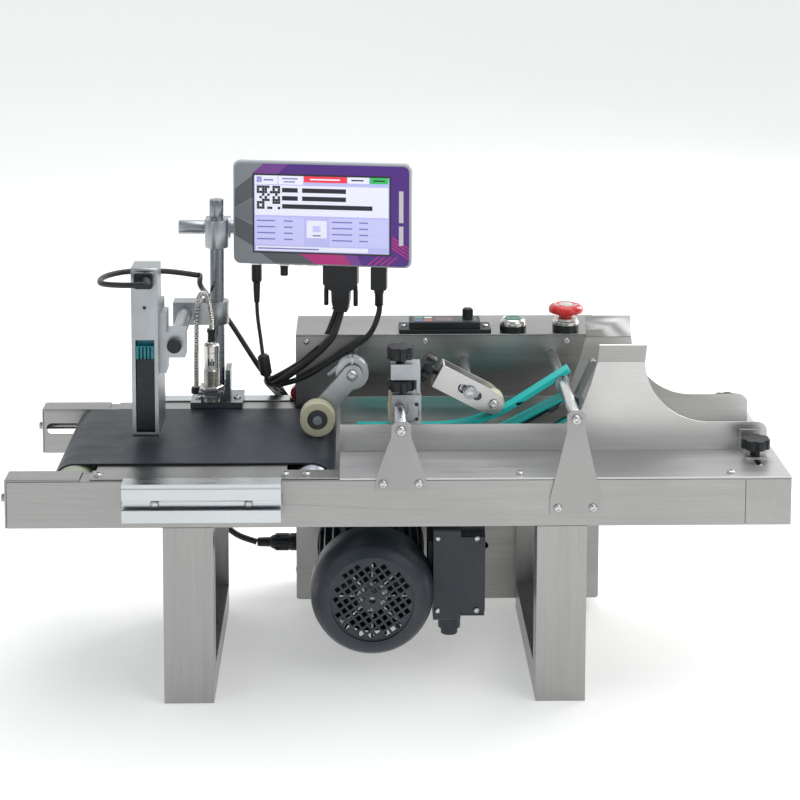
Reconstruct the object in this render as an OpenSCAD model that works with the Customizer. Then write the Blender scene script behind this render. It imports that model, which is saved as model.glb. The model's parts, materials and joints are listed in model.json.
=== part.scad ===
// Date code inkjet printer: a friction feeder, a belt conveyor and a print head on a mast.
// +X runs along the machine, products travel towards -X, the operator stands at -Y, +Z is up.

/* [Frame] */
// Length of the two rails, end to end
beam_len = 800; // [780:5:840]
// Height of the table surface above the bench
table_h = 237; // [236:1:260]
// Height of each rail with its top plate
rail_h = 51; // [50:1:54]
// Depth of a rail, front to back
rail_d = 26; // [25:1:27]
// Distance from the front of the front rail to the front of the rear rail
rear_rail_y = 239; // [238:0.5:239]
// Thickness of folded steel sheet
sheet = 2; // [1.5:0.5:2]
// Width of each leg
leg_w = 51; // [45:1:55]
// Depth of a leg post
leg_d = 30; // [26:1:32]

/* [Conveyor] */
// Radius of the steel rollers
roller_r = 22; // [20:0.5:22]
// Thickness of the conveyor belt
belt_t = 2; // [1.5:0.5:2]
// Front edge of the conveyor belt
belt_front_y = 47; // [44:1:50]
// Rear edge of the conveyor belt
belt_rear_y = 235; // [230:1:235]
// Height of the belt surface over the table
belt_rise = 1; // [0.5:0.5:1.5]
// Radius of the conveyor axles
axle_r = 6; // [5:0.5:6]

/* [Feeder] */
// Width of the feed belt
feed_belt_w = 24; // [20:1:26]
// Thickness of the feed belt
feed_belt_t = 3.5; // [3:0.5:3.5]
// Height of the level run of the feed belt over the table
feed_rise = 7; // [6.5:0.5:7]
// Upward slope of the feed belt's inclined run
feed_slope = 27.9; // [27:0.1:28.5]
// Thickness of the hold-down strip
strip_t = 5; // [4:0.5:5]
// Width of the hold-down strip
strip_w = 20; // [16:1:22]
// Radius of the round support rods
rod_r = 6; // [5:0.5:6]
// Front face of the front product guide
front_guide_y = 86; // [85:1:88]
// Front face of the rear product guide
rear_guide_y = 186; // [184:1:188]
// Thickness of a product guide
guide_t = 1.5; // [1:0.5:2]

/* [Control box] */
// Width of the control box
box_w = 348; // [346:1:350]
// Depth of the control box
box_d = 86; // [84:1:100]
// Height of the control box top above the bench
box_top_z = 322; // [320:1:324]
// Clearance under the control box
box_foot_z = 10; // [8:1:14]

/* [Motor] */
// Outer radius of the fan cover
fan_cover_r = 65; // [62:0.5:65]
// Height of the motor axis above the bench
motor_z = 91; // [88:0.5:93]

/* [Printer] */
// Radius of the mast and the cross rods
mast_r = 8; // [7:0.5:8]
// Height of the mast top above the bench
mast_top_z = 475.5; // [470:0.5:500]
// Gap between the print head and the belt
head_gap = 11; // [10:0.5:14]
// Width of the print head
head_w = 28; // [28:0.5:30]
// Width of the controller
panel_w = 204; // [200:1:206]
// Height of the controller
panel_h = 119; // [117:1:121]
// Turn of the controller towards the operator's side
panel_yaw = 8.5; // [7:0.5:9]

/* [Hidden] */

$fn = 48;
run = 0.05;             // radial running clearance of a shaft in its bore
gap = 0.3;              // loose clearance between neighbouring pieces

half_len = beam_len / 2;
rail_top = table_h - sheet;
rail_foot = table_h - rail_h;
side_y = rail_d;                        // outer face of the conveyor side plate
bed_front_y = rail_d + sheet;
rear_edge_y = rear_rail_y + rail_d + 1;
box_y = rear_rail_y + 3;                // front face of the control box
box_back_y = box_y + box_d;
slot_rail_d = 20;
bolt_out = 5;                           // how far the take-up bolts stand out

// The origin is on the bench, below the middle of the machine's outline.
mid_x = -bolt_out / 2;
mid_y = (box_back_y - slot_rail_d) / 2;

table_x = -61;                          // left edge of the table
cap_x = half_len - 47;                  // seam of the right end cap
side_plate_x = -half_len + 86;
box_x0 = -112;
box_x1 = box_x0 + box_w;
leg_x = [-240.5, 140.5];

belt_top = table_h + belt_rise;
roller_z = belt_top - belt_t - roller_r;
tail_x = -half_len + 64;
drive_x = table_x - 29;

gate_x = 1.5;
gate_z = table_h + 50;
strip_x = 179;
strip_z = table_h + 61;
hold_x = -48;
hold_z = table_h + 63.5;
hold_roller_r = 19;
hold_roller_x = -85.5;
hold_roller_z = belt_top + hold_roller_r + run;
hold_y = 130;                           // front face of the hold-down roller
pinch_tilt = 27.7;
pinch_r = 12;
pinch_y = 118;                          // front face of the pinch bracket

feed_y = 124;
feed_mid_y = feed_y + feed_belt_w / 2;
feed_top = table_h + feed_rise;
feed_drive_x = -38;
feed_r = 11.5;
feed_out = feed_r + feed_belt_t;
feed_z = feed_top - feed_out;
feed_bend_x = 107 + feed_out * tan(feed_slope / 2);
feed_top_r = 8.5;
feed_top_out = feed_top_r + feed_belt_t;
feed_line_x = 178;                      // where the incline meets the top pulley
feed_line_z = feed_top + (feed_line_x - 107) * tan(feed_slope);
feed_top_x = feed_line_x + feed_top_out * sin(feed_slope);
feed_top_z = feed_line_z - feed_top_out * cos(feed_slope);

strip_bend_r = 165;
strip_slope = 33;
strip_bend_x = 38;
strip_top = feed_top + 6.6;
strip_arc_z = strip_top + strip_bend_r;
pinch_x = 104;
pinch_z = strip_arc_z
    - sqrt(pow(strip_bend_r - pinch_r - 2 * run, 2) - pow(pinch_x - strip_bend_x, 2));

motor_x = -27;
pulley_y = box_y + 22;
pulley_w = 12;
motor_pulley_r = 14;
roller_pulley_r = 16;
feed_pulley_r = 12;

mast_x = -201.5;
mast_y = rear_rail_y + 16;
rail_shelf_z = table_h + 1.5;           // top of the slotted rails
mast_base_t = 6.5;
free_end = 20;          // free length of the mast above its upper clamp
cross_free_end = 29;    // free length of the cross rod beside the clamp
cross_y = mast_y + 32;
cross_z = mast_top_z - 38.5;
arm_x = mast_x - 35.5;
arm_z = 345.5;
head_x = -281;
head_y = 98;
head_z = belt_top + head_gap;
head_d = 72;
head_top = head_z + 183;
sensor_x = -205.5;
sensor_y = 215;
panel_x = -82.5;
panel_y = rear_rail_y + 1;
panel_z = cross_z + 23.5;

speed_x = 5.5;
knob_x = 84.5;
control_y = box_y + 15;
start_x = 136;
estop_x = 196.5;

pinch_reach = 29;                       // from the pinch roller back to its rod
pinch_rod_x = pinch_x - pinch_reach * cos(pinch_tilt);
pinch_rod_z = pinch_z + pinch_reach * sin(pinch_tilt);
strip_collar_r = 8;
gate_y = 72;                            // front face of the gate blocks
lock_slot = 44;                         // length of the slots for the guide lock studs
lock_x = 375;
front_lock_y = front_guide_y - 26;
rear_lock_y = rear_guide_y + 26;
bearing_r = 12;
grille_r = 44;                          // radius of the fan cover's grille
rocker = [box_x0, 285, 242];            // middle of the rocker switch

steel = "silver";
alloy = "lightgray";
black = "#202226";
charcoal = "#3a444c";
teal = "#20a89a";
cream = "#e6e2c8";

// ---- helpers ----

module in_frame() translate([-mid_x, -mid_y, 0]) children();

// Extrudes an XZ outline from y towards +Y.
module plate_xz(y, t) translate([0, y + t, 0]) rotate([90, 0, 0]) linear_extrude(t) children();

// Extrudes a YZ outline from x towards +X.
module plate_yz(x, t) translate([x, 0, 0]) rotate([90, 0, 90]) linear_extrude(t) children();

module rod_x(r, x, len, y, z) translate([x, y, z]) rotate([0, 90, 0]) cylinder(r = r, h = len);
module rod_y(r, y, len, x, z) translate([x, y, z]) rotate([-90, 0, 0]) cylinder(r = r, h = len);
module rod_z(r, z, len, x, y) translate([x, y, z]) cylinder(r = r, h = len);

module box(x, y, z, w, d, h) translate([x, y, z]) cube([w, d, h]);

// Rectangle with rounded corners, made of true arcs.
module round_rect(x, y, w, h, r) {
    translate([x + r, y]) square([w - 2 * r, h]);
    translate([x, y + r]) square([w, h - 2 * r]);
    for (i = [0, 1], j = [0, 1])
        translate([x + r + i * (w - 2 * r), y + r + j * (h - 2 * r)]) circle(r, $fn = 32);
}

// Flat link with round ends between two points in an XZ plane.
module link(x0, z0, x1, z1, r, y, t) {
    len = norm([x1 - x0, z1 - z0]);
    half = r - 0.2;
    plate_xz(y, t) {
        translate([x0, z0]) circle(r, $fn = 48);
        translate([x1, z1]) circle(r, $fn = 48);
        translate([x0, z0]) rotate(atan2(z1 - z0, x1 - x0)) translate([0, -half]) square([len, 2 * half]);
    }
}

// Star knob along +Z with its grip resting on z = 0.
module star_knob(r, h, stud_r, stud_len, lobes = 7) {
    difference() {
        cylinder(r = r, h = h);
        for (i = [0:lobes - 1]) rotate(i * 360 / lobes)
            translate([r * 1.12, 0, -1]) cylinder(r = r * 0.28, h = h + 2, $fn = 24);
    }
    translate([0, 0, -stud_len]) cylinder(r = stud_r, h = stud_len + 0.5);
}

// Button-head socket screw with its head standing on z = 0 and pointing up.
module screw(r = 2.5) {
    difference() {
        cylinder(r = r * 1.75, h = r * 1.2, $fn = 24);
        translate([0, 0, r * 0.5]) cylinder(r = r, h = r, $fn = 6);
    }
}
module screw_up(x, y, z, r = 2.5) translate([x, y, z]) screw(r);
module screw_front(x, y, z, r = 2.5) translate([x, y, z]) rotate([90, 0, 0]) screw(r);
module screw_right(x, y, z, r = 2) translate([x, y, z]) rotate([0, 90, 0]) screw(r);
module screw_left(x, y, z, r = 2) translate([x, y, z]) rotate([0, -90, 0]) screw(r);

function unit(v) = v / norm(v);
function knot(p, i) = p[max(0, min(len(p) - 1, i))];

// Point on a smooth curve through the points p, at position t along the list.
function curve_at(p, t) = let (i = min(floor(t), len(p) - 2), u = t - i,
    a = knot(p, i - 1), b = knot(p, i), c = knot(p, i + 1), d = knot(p, i + 2))
    0.5 * (2 * b + (c - a) * u + (2 * a - 5 * b + 4 * c - d) * u * u
        + (3 * b - a - 3 * c + d) * u * u * u);

// Round cable of radius r along the smooth curve through the points. side is a
// direction that the curve never runs along.
module cable(points, r, side = [0, 1, 0], steps = 3, facets = 8) {
    path = [for (i = [0:steps * (len(points) - 1)]) curve_at(points, i / steps)];
    last = len(path) - 1;
    rings = [for (i = [0:last]) let (
        along = unit(path[min(i + 1, last)] - path[max(i - 1, 0)]),
        u = unit(cross(along, side)), v = cross(u, along))
        each [for (k = [0:facets - 1]) let (a = k * 360 / facets)
            path[i] + r * (cos(a) * u + sin(a) * v)]];
    walls = [for (i = [0:last - 1], k = [0:facets - 1]) let (
        a = i * facets + k, b = i * facets + (k + 1) % facets)
        each [[a, b, b + facets], [a, b + facets, a + facets]]];
    polyhedron(rings, concat(walls, [[for (k = [facets - 1:-1:0]) k]],
        [[for (k = [0:facets - 1]) last * facets + k]]));
}

// ---- frame ----

module rail_profile(depth) polygon([[0, 0], [depth, 0], [depth, sheet], [sheet, sheet],
    [sheet, rail_top - rail_foot - sheet], [depth, rail_top - rail_foot - sheet],
    [depth, rail_top - rail_foot], [0, rail_top - rail_foot]]);

module axle_slot(y) translate([0, y, 0]) {
    box(tail_x - 6, -1, roller_z - axle_r - 0.5, 14, sheet + 2, 2 * axle_r + 1);
    for (x = [tail_x - 6, tail_x + 8]) rod_y(axle_r + 0.5, -1, sheet + 2, x, roller_z);
}

module front_rail() color(steel) in_frame() difference() {
    plate_yz(-half_len + sheet, cap_x + half_len - sheet)
        translate([0, rail_foot]) rail_profile(rail_d);
    for (x = [-246.9, -152.4]) rod_y(2.6, -1, sheet + 2, x, 216);
}

module rear_rail() color(steel) in_frame() difference() {
    union() {
        plate_yz(-half_len + sheet, box_x0 + half_len - sheet - 2)
            translate([rear_rail_y, rail_foot]) rail_profile(rail_d + 1);
        plate_yz(box_x1 + 2, half_len - sheet - box_x1 - 2)
            translate([rear_rail_y, rail_foot]) rail_profile(rail_d + 1);
    }
    box(-389, rear_rail_y - 1, roller_z - 6.5, 66, sheet + 2, 13);
    rod_y(6.5, rear_rail_y - 1, sheet + 2, -389, roller_z);
    rod_y(6.5, rear_rail_y - 1, sheet + 2, -323, roller_z);
}

module left_cap(y, d) difference() {
    union() {
        box(-half_len, y, rail_top, side_plate_x + half_len - 10, d, sheet);
        box(-half_len, y, rail_foot, sheet, d, rail_top - rail_foot);
    }
    rod_x(4.3, -half_len - 1, sheet + 2, y + d / 2, roller_z);
}

module end_caps() color(steel) in_frame() {
    left_cap(0, bed_front_y);
    left_cap(rear_rail_y, rail_d + 1);
    difference() {
        box(cap_x, 0, rail_foot, half_len - cap_x, rear_edge_y, rail_top - rail_foot);
        box(cap_x - 1, sheet, rail_foot - 1, half_len - cap_x - sheet + 1,
            rear_edge_y - 2 * sheet, rail_h + 2);
        box(cap_x - 1, rear_rail_y - 1, rail_foot - 1, half_len - cap_x - sheet + 1,
            rear_edge_y - rear_rail_y + 2, rail_h + 2);
    }
}

module table_top() color(steel) in_frame() difference() {
    union() {
        box(table_x, 0, rail_top, half_len - table_x, box_y - 0.5, sheet);
        box(box_x1 + 2, box_y - 1, rail_top, half_len - box_x1 - 2,
            rear_edge_y - box_y + 1, sheet);
    }
    box(feed_drive_x - feed_out - 2, feed_y - 4, rail_top - 1,
        158 - feed_drive_x + feed_out + 2, feed_belt_w + 8, sheet + 2);
    for (y = [front_lock_y, rear_lock_y]) {
        box(lock_x - 3.2, y - lock_slot / 2, rail_top - 1, 6.4, lock_slot, sheet + 2);
        for (end = [-1, 1]) rod_z(3.2, rail_top - 1, sheet + 2, lock_x, y + end * lock_slot / 2);
    }
}

module leg(x) {
    wall = 3;
    upright_y = rear_rail_y - 3;
    difference() {
        union() {
            box(x, 0, 0, leg_w, leg_d, rail_foot);
            box(x, 0, 0, leg_w, rear_rail_y, 30);
        }
        box(x + wall, wall, wall, leg_w - 2 * wall, leg_d - 2 * wall, rail_foot);
        box(x + wall, wall, wall, leg_w - 2 * wall, rear_rail_y, 30 - 2 * wall);
    }
    difference() {
        box(x, upright_y, 30, leg_w, 3, rail_foot - 30 - gap);
        for (z = [rail_foot - 22, rail_foot - 100])
            rod_y(3.2, upright_y - 1, 5, x + leg_w / 2, z);
    }
}

module legs() color(steel) in_frame() for (x = leg_x) leg(x);

module conveyor_frame() color(steel) in_frame() {
    bed_z = belt_top - belt_t - 0.1 - sheet;
    plate_len = table_x - gap - side_plate_x;
    difference() {
        union() {
            box(side_plate_x, 3, rail_top, plate_len, bed_front_y - 3, sheet);
            box(-half_len + 8, side_y, rail_foot + 4, table_x - 1 + half_len - 8, sheet,
                rail_top - rail_foot - 4);
        }
        axle_slot(side_y);
        rod_y(bearing_r + run, side_y - 1, sheet + 2, drive_x, roller_z);
    }
    difference() {
        rod_y(bearing_r, side_y - 4, sheet + 4, drive_x, roller_z);
        rod_y(axle_r + run, side_y - 5, sheet + 6, drive_x, roller_z);
    }
    box(side_plate_x, rear_rail_y, rail_top, box_x0 - 2 - side_plate_x, rail_d - 1, sheet);
    box(tail_x + roller_r + 3, bed_front_y, bed_z,
        drive_x - tail_x - 2 * roller_r - 6, rear_rail_y - bed_front_y, sheet);
    for (x = [-262, -168])
        box(x, bed_front_y, bed_z - 14, 20, rear_rail_y - bed_front_y, 14);
}

module slotted_profile() difference() {
    square([slot_rail_d, 40]);
    for (x = [0, slot_rail_d]) translate([x, 18]) {
        square([6, 10], center = true);
        translate([x == 0 ? 5 : -5, 0]) square([4.5, 17], center = true);
    }
    for (z = [5, 30]) translate([slot_rail_d / 2, z]) circle(2.5, $fn = 24);
    translate([-0.6, 35]) square([1.2, 1.2]);
}

module slotted_rails() color(alloy) in_frame() difference() {
    for (y = [-slot_rail_d, rear_edge_y])
        plate_yz(-279.5, 160) translate([y, rail_shelf_z - 40]) slotted_profile();
    for (x = [-246.9, -152.4]) rod_y(2.6, -slot_rail_d - 1, slot_rail_d + 2, x, 216);
}

module rod_bracket(x, top_z, shoulder_z, top_w, foot_z, foot_top_z, foot_w, hole_x, bolt_z) {
    plate_xz(-2.5, 2.5) difference() {
        polygon([[x - foot_w / 2, foot_z], [x + foot_w / 2, foot_z],
            [x + foot_w / 2, foot_top_z], [x + top_w / 2, shoulder_z],
            [x + top_w / 2, top_z - 4], [x + top_w / 2 - 4, top_z],
            [x - top_w / 2 + 4, top_z], [x - top_w / 2, top_z - 4],
            [x - top_w / 2, shoulder_z], [x - foot_w / 2, foot_top_z]]);
        for (side = [-1, 1]) translate([x + side * hole_x, foot_z + 7]) circle(2.6);
        translate([x, bolt_z]) circle(3.1);
    }
}

module rod_brackets() color(alloy) in_frame() {
    rod_bracket(gate_x, gate_z + 9, gate_z - 6, 20, 225, 239, 51, 18.2, gate_z);
    rod_bracket(strip_x, strip_z + 9, strip_z - 12, 19, 199, 216, 52, 17.9, strip_z);
}

module support_rods() color(alloy) in_frame() {
    rod_y(rod_r, 0, box_y, gate_x, gate_z);
    rod_y(rod_r, 0, box_y, strip_x, strip_z);
    rod_y(rod_r, hold_y + 20, box_y - hold_y - 20, hold_x, hold_z);
    rod_y(rod_r, pinch_y + 16, box_y - pinch_y - 16, pinch_rod_x, pinch_rod_z);
}

// Local frame of the pinch bracket: its roller's axis at the origin, X along the bracket.

module in_pinch() translate([pinch_x, 0, pinch_z]) rotate([0, pinch_tilt, 0]) children();

module collar(x, z, r, y, w) difference() {
    rod_y(r, y, w, x, z);
    rod_y(rod_r + run, y - 1, w + 2, x, z);
    box(x - 0.6, y - 1, z + rod_r - 2, 1.2, w + 2, r);
}

module rod_collars() color(alloy) in_frame() {
    collar(hold_x, hold_z, 18, hold_y + 28, 13);
    rotate_about(hold_x, hold_z, -40) rod_x(2.5, hold_x - 22, 14, hold_y + 34, hold_z + 14);
    difference() {
        in_pinch() box(-pinch_reach - 11, pinch_y + 6, -9, 22, 17, 18);
        rod_y(rod_r + run, pinch_y + 15.9, 20, pinch_rod_x, pinch_rod_z);
        in_pinch() rod_x(2.6, -pinch_reach - 12, 21, pinch_y + 13, 0);
    }
    in_pinch() rod_y(4, pinch_y - 0.5, 6.5, -pinch_reach, 0);
    in_pinch() translate([-pinch_reach, pinch_y - 0.3, 0]) rotate([90, 0, 0]) {
        cylinder(r = 7.5, h = 1.2);
        translate([0, 0, 1.2]) screw(3.5);
    }
    collar(strip_x, strip_z, strip_collar_r, feed_mid_y - 11, 22);
}

module rotate_about(x, z, a)
    translate([x, 0, z]) rotate([0, a, 0]) translate([-x, 0, -z]) children();

// ---- conveyor ----

module belt_loop(r, y, w) {
    for (x = [tail_x, drive_x]) rod_y(r, y, w, x, roller_z);
    box(tail_x, y, roller_z - r, drive_x - tail_x, w, 2 * r);
}

module conveyor_belt() color(charcoal) in_frame() difference() {
    belt_loop(roller_r + belt_t, belt_front_y, belt_rear_y - belt_front_y);
    belt_loop(roller_r + run, belt_front_y - 1, belt_rear_y - belt_front_y + 2);
}

module drive_roller() color(steel) in_frame() {
    rod_y(roller_r, bed_front_y + 2, rear_rail_y - bed_front_y - 4, drive_x, roller_z);
    rod_y(axle_r, side_y - 6, pulley_y + pulley_w - side_y + 8, drive_x, roller_z);
    rod_y(roller_pulley_r, pulley_y, pulley_w, drive_x, roller_z);
    for (y = [pulley_y - 1.5, pulley_y + pulley_w])
        rod_y(roller_pulley_r + 1.5, y, 1.5, drive_x, roller_z);
}

module tail_roller() color(cream) in_frame() difference() {
    rod_y(roller_r, bed_front_y + 2, rear_rail_y - bed_front_y - 4, tail_x, roller_z);
    rod_y(axle_r + run, bed_front_y, rear_rail_y - bed_front_y, tail_x, roller_z);
}

module take_up_block(y) {
    box(tail_x - 12, y, roller_z - 10, 26, 12, 20);
    difference() {
        rod_x(4, -half_len - bolt_out, tail_x - 12 + half_len + bolt_out, y + 6, roller_z);
        rod_x(2.2, -half_len - bolt_out - 1, 3.5, y + 6, roller_z);
    }
}

module take_up() color(steel) in_frame() {
    front_y = bed_front_y / 2 - 6;
    rear_y = rear_rail_y + (rail_d + 1) / 2 - 6;
    rod_y(axle_r, front_y + 6, rear_y - front_y, tail_x, roller_z);
    take_up_block(front_y);
    take_up_block(rear_y);
}

// ---- guides ----

// Low fence on both sides of a tall back, joined by sweeping curves.
module guide_outline() {
    low = table_h + 30.5;
    tall = table_h + 96;
    sweep_r = 68;
    difference() {
        union() {
            translate([table_x, table_h + 0.2]) square([176 - table_x, 28.8]);
            polygon([[175.9, table_h + 0.2], [175.9, table_h + 29], [186, table_h + 34],
                [195.4, table_h + 45.8], [204, table_h + 70], [211.4, tall],
                [261.7, tall], [330, low], [330, table_h + 0.2]]);
            round_rect(300, table_h + 0.2, 92.5, 30.3, 10);
            translate([300, table_h + 0.2]) square([92.5, 12]);
        }
        translate([261.7 + sweep_r, low + sweep_r]) circle(sweep_r, $fn = 96);
    }
}

module guide(y, flare) {
    plate_xz(y, guide_t) guide_outline();
    translate([0, y + (flare > 0 ? 0 : guide_t), table_h + 96 - 0.2]) rotate([flare, 0, 0])
        box(211.4, flare > 0 ? 0 : -guide_t, 0, 50.3, guide_t, 24);
}

module guide_foot(y, side) difference() {
    near = side < 0 ? y - 34 : y + guide_t - 0.1;
    union() {
        box(lock_x - 11, near, table_h + 0.2, 22, 34.1, 2.5);
        box(lock_x - 11, side < 0 ? y - 2.5 : y + guide_t, table_h + 0.2, 22, 2.5, 22);
    }
    rod_z(3.1, table_h - 1, 5, lock_x, side < 0 ? front_lock_y : rear_lock_y);
}

module front_guide() color(steel) in_frame() {
    guide(front_guide_y, 28);
    guide_foot(front_guide_y, -1);
}

module rear_guide() color(steel) in_frame() {
    guide(rear_guide_y, -28);
    guide_foot(rear_guide_y, 1);
}

module lock_knob(y) translate([lock_x, y, table_h + 11]) {
    star_knob(15, 10, 3, 8.2);
    rod_z(5.5, -8, 8, 0, 0);
    rod_z(3, -16, 10, 0, 0);
    rod_z(6, -17.5, 3, 0, 0);
}

module front_guide_knob() color(black) in_frame() lock_knob(front_lock_y);
module rear_guide_knob() color(black) in_frame() lock_knob(rear_lock_y);

// ---- hold-down arm ----

module hold_down_arm() color(alloy) in_frame() {
    difference() {
        link(hold_x, hold_z, hold_roller_x, hold_roller_z, 11, hold_y + 21, 5);
        rod_y(rod_r + run, hold_y + 20, 8, hold_x, hold_z);
    }
    rod_y(5, hold_y - 2, 25.5, hold_roller_x, hold_roller_z);
}

module hold_down_roller() color(cream) in_frame() difference() {
    rod_y(hold_roller_r, hold_y, 20, hold_roller_x, hold_roller_z);
    rod_y(5 + run, hold_y - 1, 22, hold_roller_x, hold_roller_z);
    rod_y(12, hold_y - 1, 3, hold_roller_x, hold_roller_z);
}

// ---- pinch arm ----

// Side plate of the bracket, narrower at the roller, with a slot of half-width slot_r.
module pinch_cheek(y, slot_r) plate_xz(y, 2) difference() {
    union() {
        polygon([[-66, -13.3], [-8, -13.3], [4, -10.1], [4, 10.1], [-8, 13.3], [-66, 13.3]]);
        circle(11);
    }
    translate([-pinch_reach - 9, -slot_r]) square([18, 2 * slot_r]);
    for (x = [-9, 9]) translate([x - pinch_reach, 0]) circle(slot_r);
}

module pinch_bracket() color(steel) in_frame() in_pinch() difference() {
    union() {
        pinch_cheek(pinch_y, 5);
        pinch_cheek(pinch_y + 24, rod_r + 0.4);
        box(-68, pinch_y, -13.3, 2.1, 26, 26.6);
        rod_y(4, pinch_y - 2, 30, 0, 0);
    }
    rod_x(3.1, -69, 4, pinch_y + 13, 0);
}

module pinch_roller() color(cream) in_frame() in_pinch() difference() {
    rod_y(pinch_r, pinch_y + 3, 20, 0, 0);
    rod_y(4 + run, pinch_y + 2, 22, 0, 0);
}

module pinch_knob() color(black) in_frame() in_pinch()
    translate([-76, pinch_y + 13, 0]) rotate([0, -90, 0]) {
        star_knob(16, 11, 3, 8);
        rod_z(2.5, -52, 45, 0, 0);
    }

// ---- gate ----

module gate_bracket() color(alloy) in_frame() {
    difference() {
        box(gate_x - 8, gate_y, gate_z - 17, 31, 20, 32);
        rod_y(rod_r + run, gate_y - 1, 22, gate_x, gate_z);
        rod_y(9.5, gate_y - 1, 4, gate_x, gate_z);
        for (z = [5, -11]) rod_y(2, gate_y - 1, 22, gate_x + 18, gate_z + z);
    }
    difference() {
        union() {
            box(gate_x - 9, gate_y, gate_z + 31, 31, 20, 17);
            box(gate_x + 18, gate_y + 3, gate_z + 14, 4, 16, 20);
        }
        rod_z(2.6, gate_z + 30, 20, gate_x + 1, gate_y + 10);
    }
}

module gate_knob() color(black) in_frame()
    translate([gate_x + 2, gate_y + 10, gate_z + 18.5]) {
        rod_z(2.5, -3, 4, 0, 0);
        star_knob(14, 11, 2, 3);
    }

module gate_lock_knob() color(black) in_frame()
    translate([gate_x + 1, gate_y + 10, gate_z + 52]) {
        star_knob(14, 13, 2.5, 19);
        rod_z(5, -3.5, 4, 0, 0);
    }

module separator() color(cream) in_frame() {
    back = gate_y + 21;
    pad_z = strip_top + 0.5;
    difference() {
        box(gate_x - 11, back, gate_z - 19, 22, 4, 33);
        for (z = [0, -6]) rod_y(rod_r + 0.6, back - 1, 6, gate_x, gate_z + z);
        box(gate_x - rod_r - 0.6, back - 1, gate_z - 6, 2 * rod_r + 1.2, 6, 6);
    }
    box(gate_x - 11, back + 1, gate_z - 19, 22, feed_mid_y + 8 - back - 1, 5);
    box(gate_x - 7, feed_mid_y - 8, pad_z, 14, 16, gate_z - 18 - pad_z);
}

// ---- feeder ----

function strip_arc(r, a0, a1, n) = [for (i = [0:n]) let (a = a0 + (a1 - a0) * i / n)
    [strip_bend_x + r * sin(a), strip_arc_z - r * cos(a)]];

module hold_down_strip() color(teal) in_frame() {
    len = (strip_x + 6 - strip_bend_x - strip_bend_r * sin(strip_slope)) / cos(strip_slope);
    along = [cos(strip_slope), sin(strip_slope)] * len;
    top = strip_arc(strip_bend_r, 0, strip_slope, 16);
    under = strip_arc(strip_bend_r + strip_t, strip_slope, 0, 16);
    plate_xz(feed_mid_y - strip_w / 2, strip_w) difference() {
        polygon(concat([[-43.5, strip_top]], top, [top[16] + along, under[0] + along],
            under, [[-43.5, strip_top - strip_t]]));
        translate([strip_x, strip_z]) circle(strip_collar_r + 0.1);
    }
}

module feed_outline(grow) {
    hull() {
        translate([feed_drive_x, feed_z]) circle(feed_r + grow, $fn = 64);
        translate([feed_bend_x, feed_z]) circle(feed_r + grow, $fn = 64);
    }
    hull() {
        translate([feed_bend_x, feed_z]) circle(feed_r + grow, $fn = 64);
        translate([feed_top_x, feed_top_z]) circle(feed_top_r + grow, $fn = 64);
    }
}

module feed_belt() color(teal) in_frame() plate_xz(feed_y, feed_belt_w) difference() {
    feed_outline(feed_belt_t);
    feed_outline(gap);
}

module feed_pulley(x, z, r, bore) difference() {
    rod_y(r, feed_y - 0.5, feed_belt_w + 1, x, z);
    if (bore > 0) rod_y(bore, feed_y - 2, feed_belt_w + 4, x, z);
}

module feed_drive_pulley() color(alloy) in_frame() {
    feed_pulley(feed_drive_x, feed_z, feed_r, 0);
    rod_y(4, feed_y - 5, pulley_y + pulley_w + 8 - feed_y, feed_drive_x, feed_z);
    rod_y(feed_pulley_r, pulley_y, pulley_w, feed_drive_x, feed_z);
    for (y = [pulley_y - 1.5, pulley_y + pulley_w])
        rod_y(feed_pulley_r + 1.5, y, 1.5, feed_drive_x, feed_z);
}

module feed_bend_pulley() color(alloy) in_frame()
    feed_pulley(feed_bend_x, feed_z, feed_r, 3 + run);
module feed_top_pulley() color(alloy) in_frame()
    feed_pulley(feed_top_x, feed_top_z, feed_top_r, 3 + run);

module feed_cheek(y) difference() {
    union() {
        link(feed_drive_x, feed_z, feed_bend_x, feed_z, 5.5, y, 1.5);
        link(feed_bend_x, feed_z, feed_top_x, feed_top_z, 5.5, y, 1.5);
        box(20, y, feed_z, 20, 1.5, rail_top - feed_z);
    }
    rod_y(4 + run, y - 1, 4, feed_drive_x, feed_z);
}

module feed_bed() color(steel) in_frame() {
    for (y = [feed_y - 3, feed_y + feed_belt_w + 1.5]) feed_cheek(y);
    for (pin = [[feed_bend_x, feed_z], [feed_top_x, feed_top_z]])
        rod_y(3, feed_y - 4, feed_belt_w + 8, pin[0], pin[1]);
    span_y = feed_belt_w + 3.1;
    box(-20, feed_y - 1.55, feed_top - feed_belt_t - 2.5, 112, span_y, 2);
    translate([feed_bend_x, feed_y - 1.55, feed_z])
        rotate([0, -atan2(feed_top_z - feed_z, feed_top_x - feed_bend_x), 0])
            box(18, 0, 5.4, 48, span_y, 2);
}

module stack_support() color(alloy) in_frame() {
    back = feed_y + feed_belt_w + 3.3;
    foot_x = feed_top_x + 17;
    link(foot_x - 4, feed_top_z + 12, foot_x + 12, feed_top_z + 48, 3, feed_mid_y - 6, 12);
    difference() {
        link(feed_top_x, feed_top_z, foot_x, feed_top_z, 5, back, 2.5);
        rod_y(3 + run, back - 1, 5, feed_top_x, feed_top_z);
    }
    box(foot_x - 3.4, feed_mid_y - 6, feed_top_z - 3.5, 3, back - feed_mid_y + 8, 16.5);
}

// ---- control box ----

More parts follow.
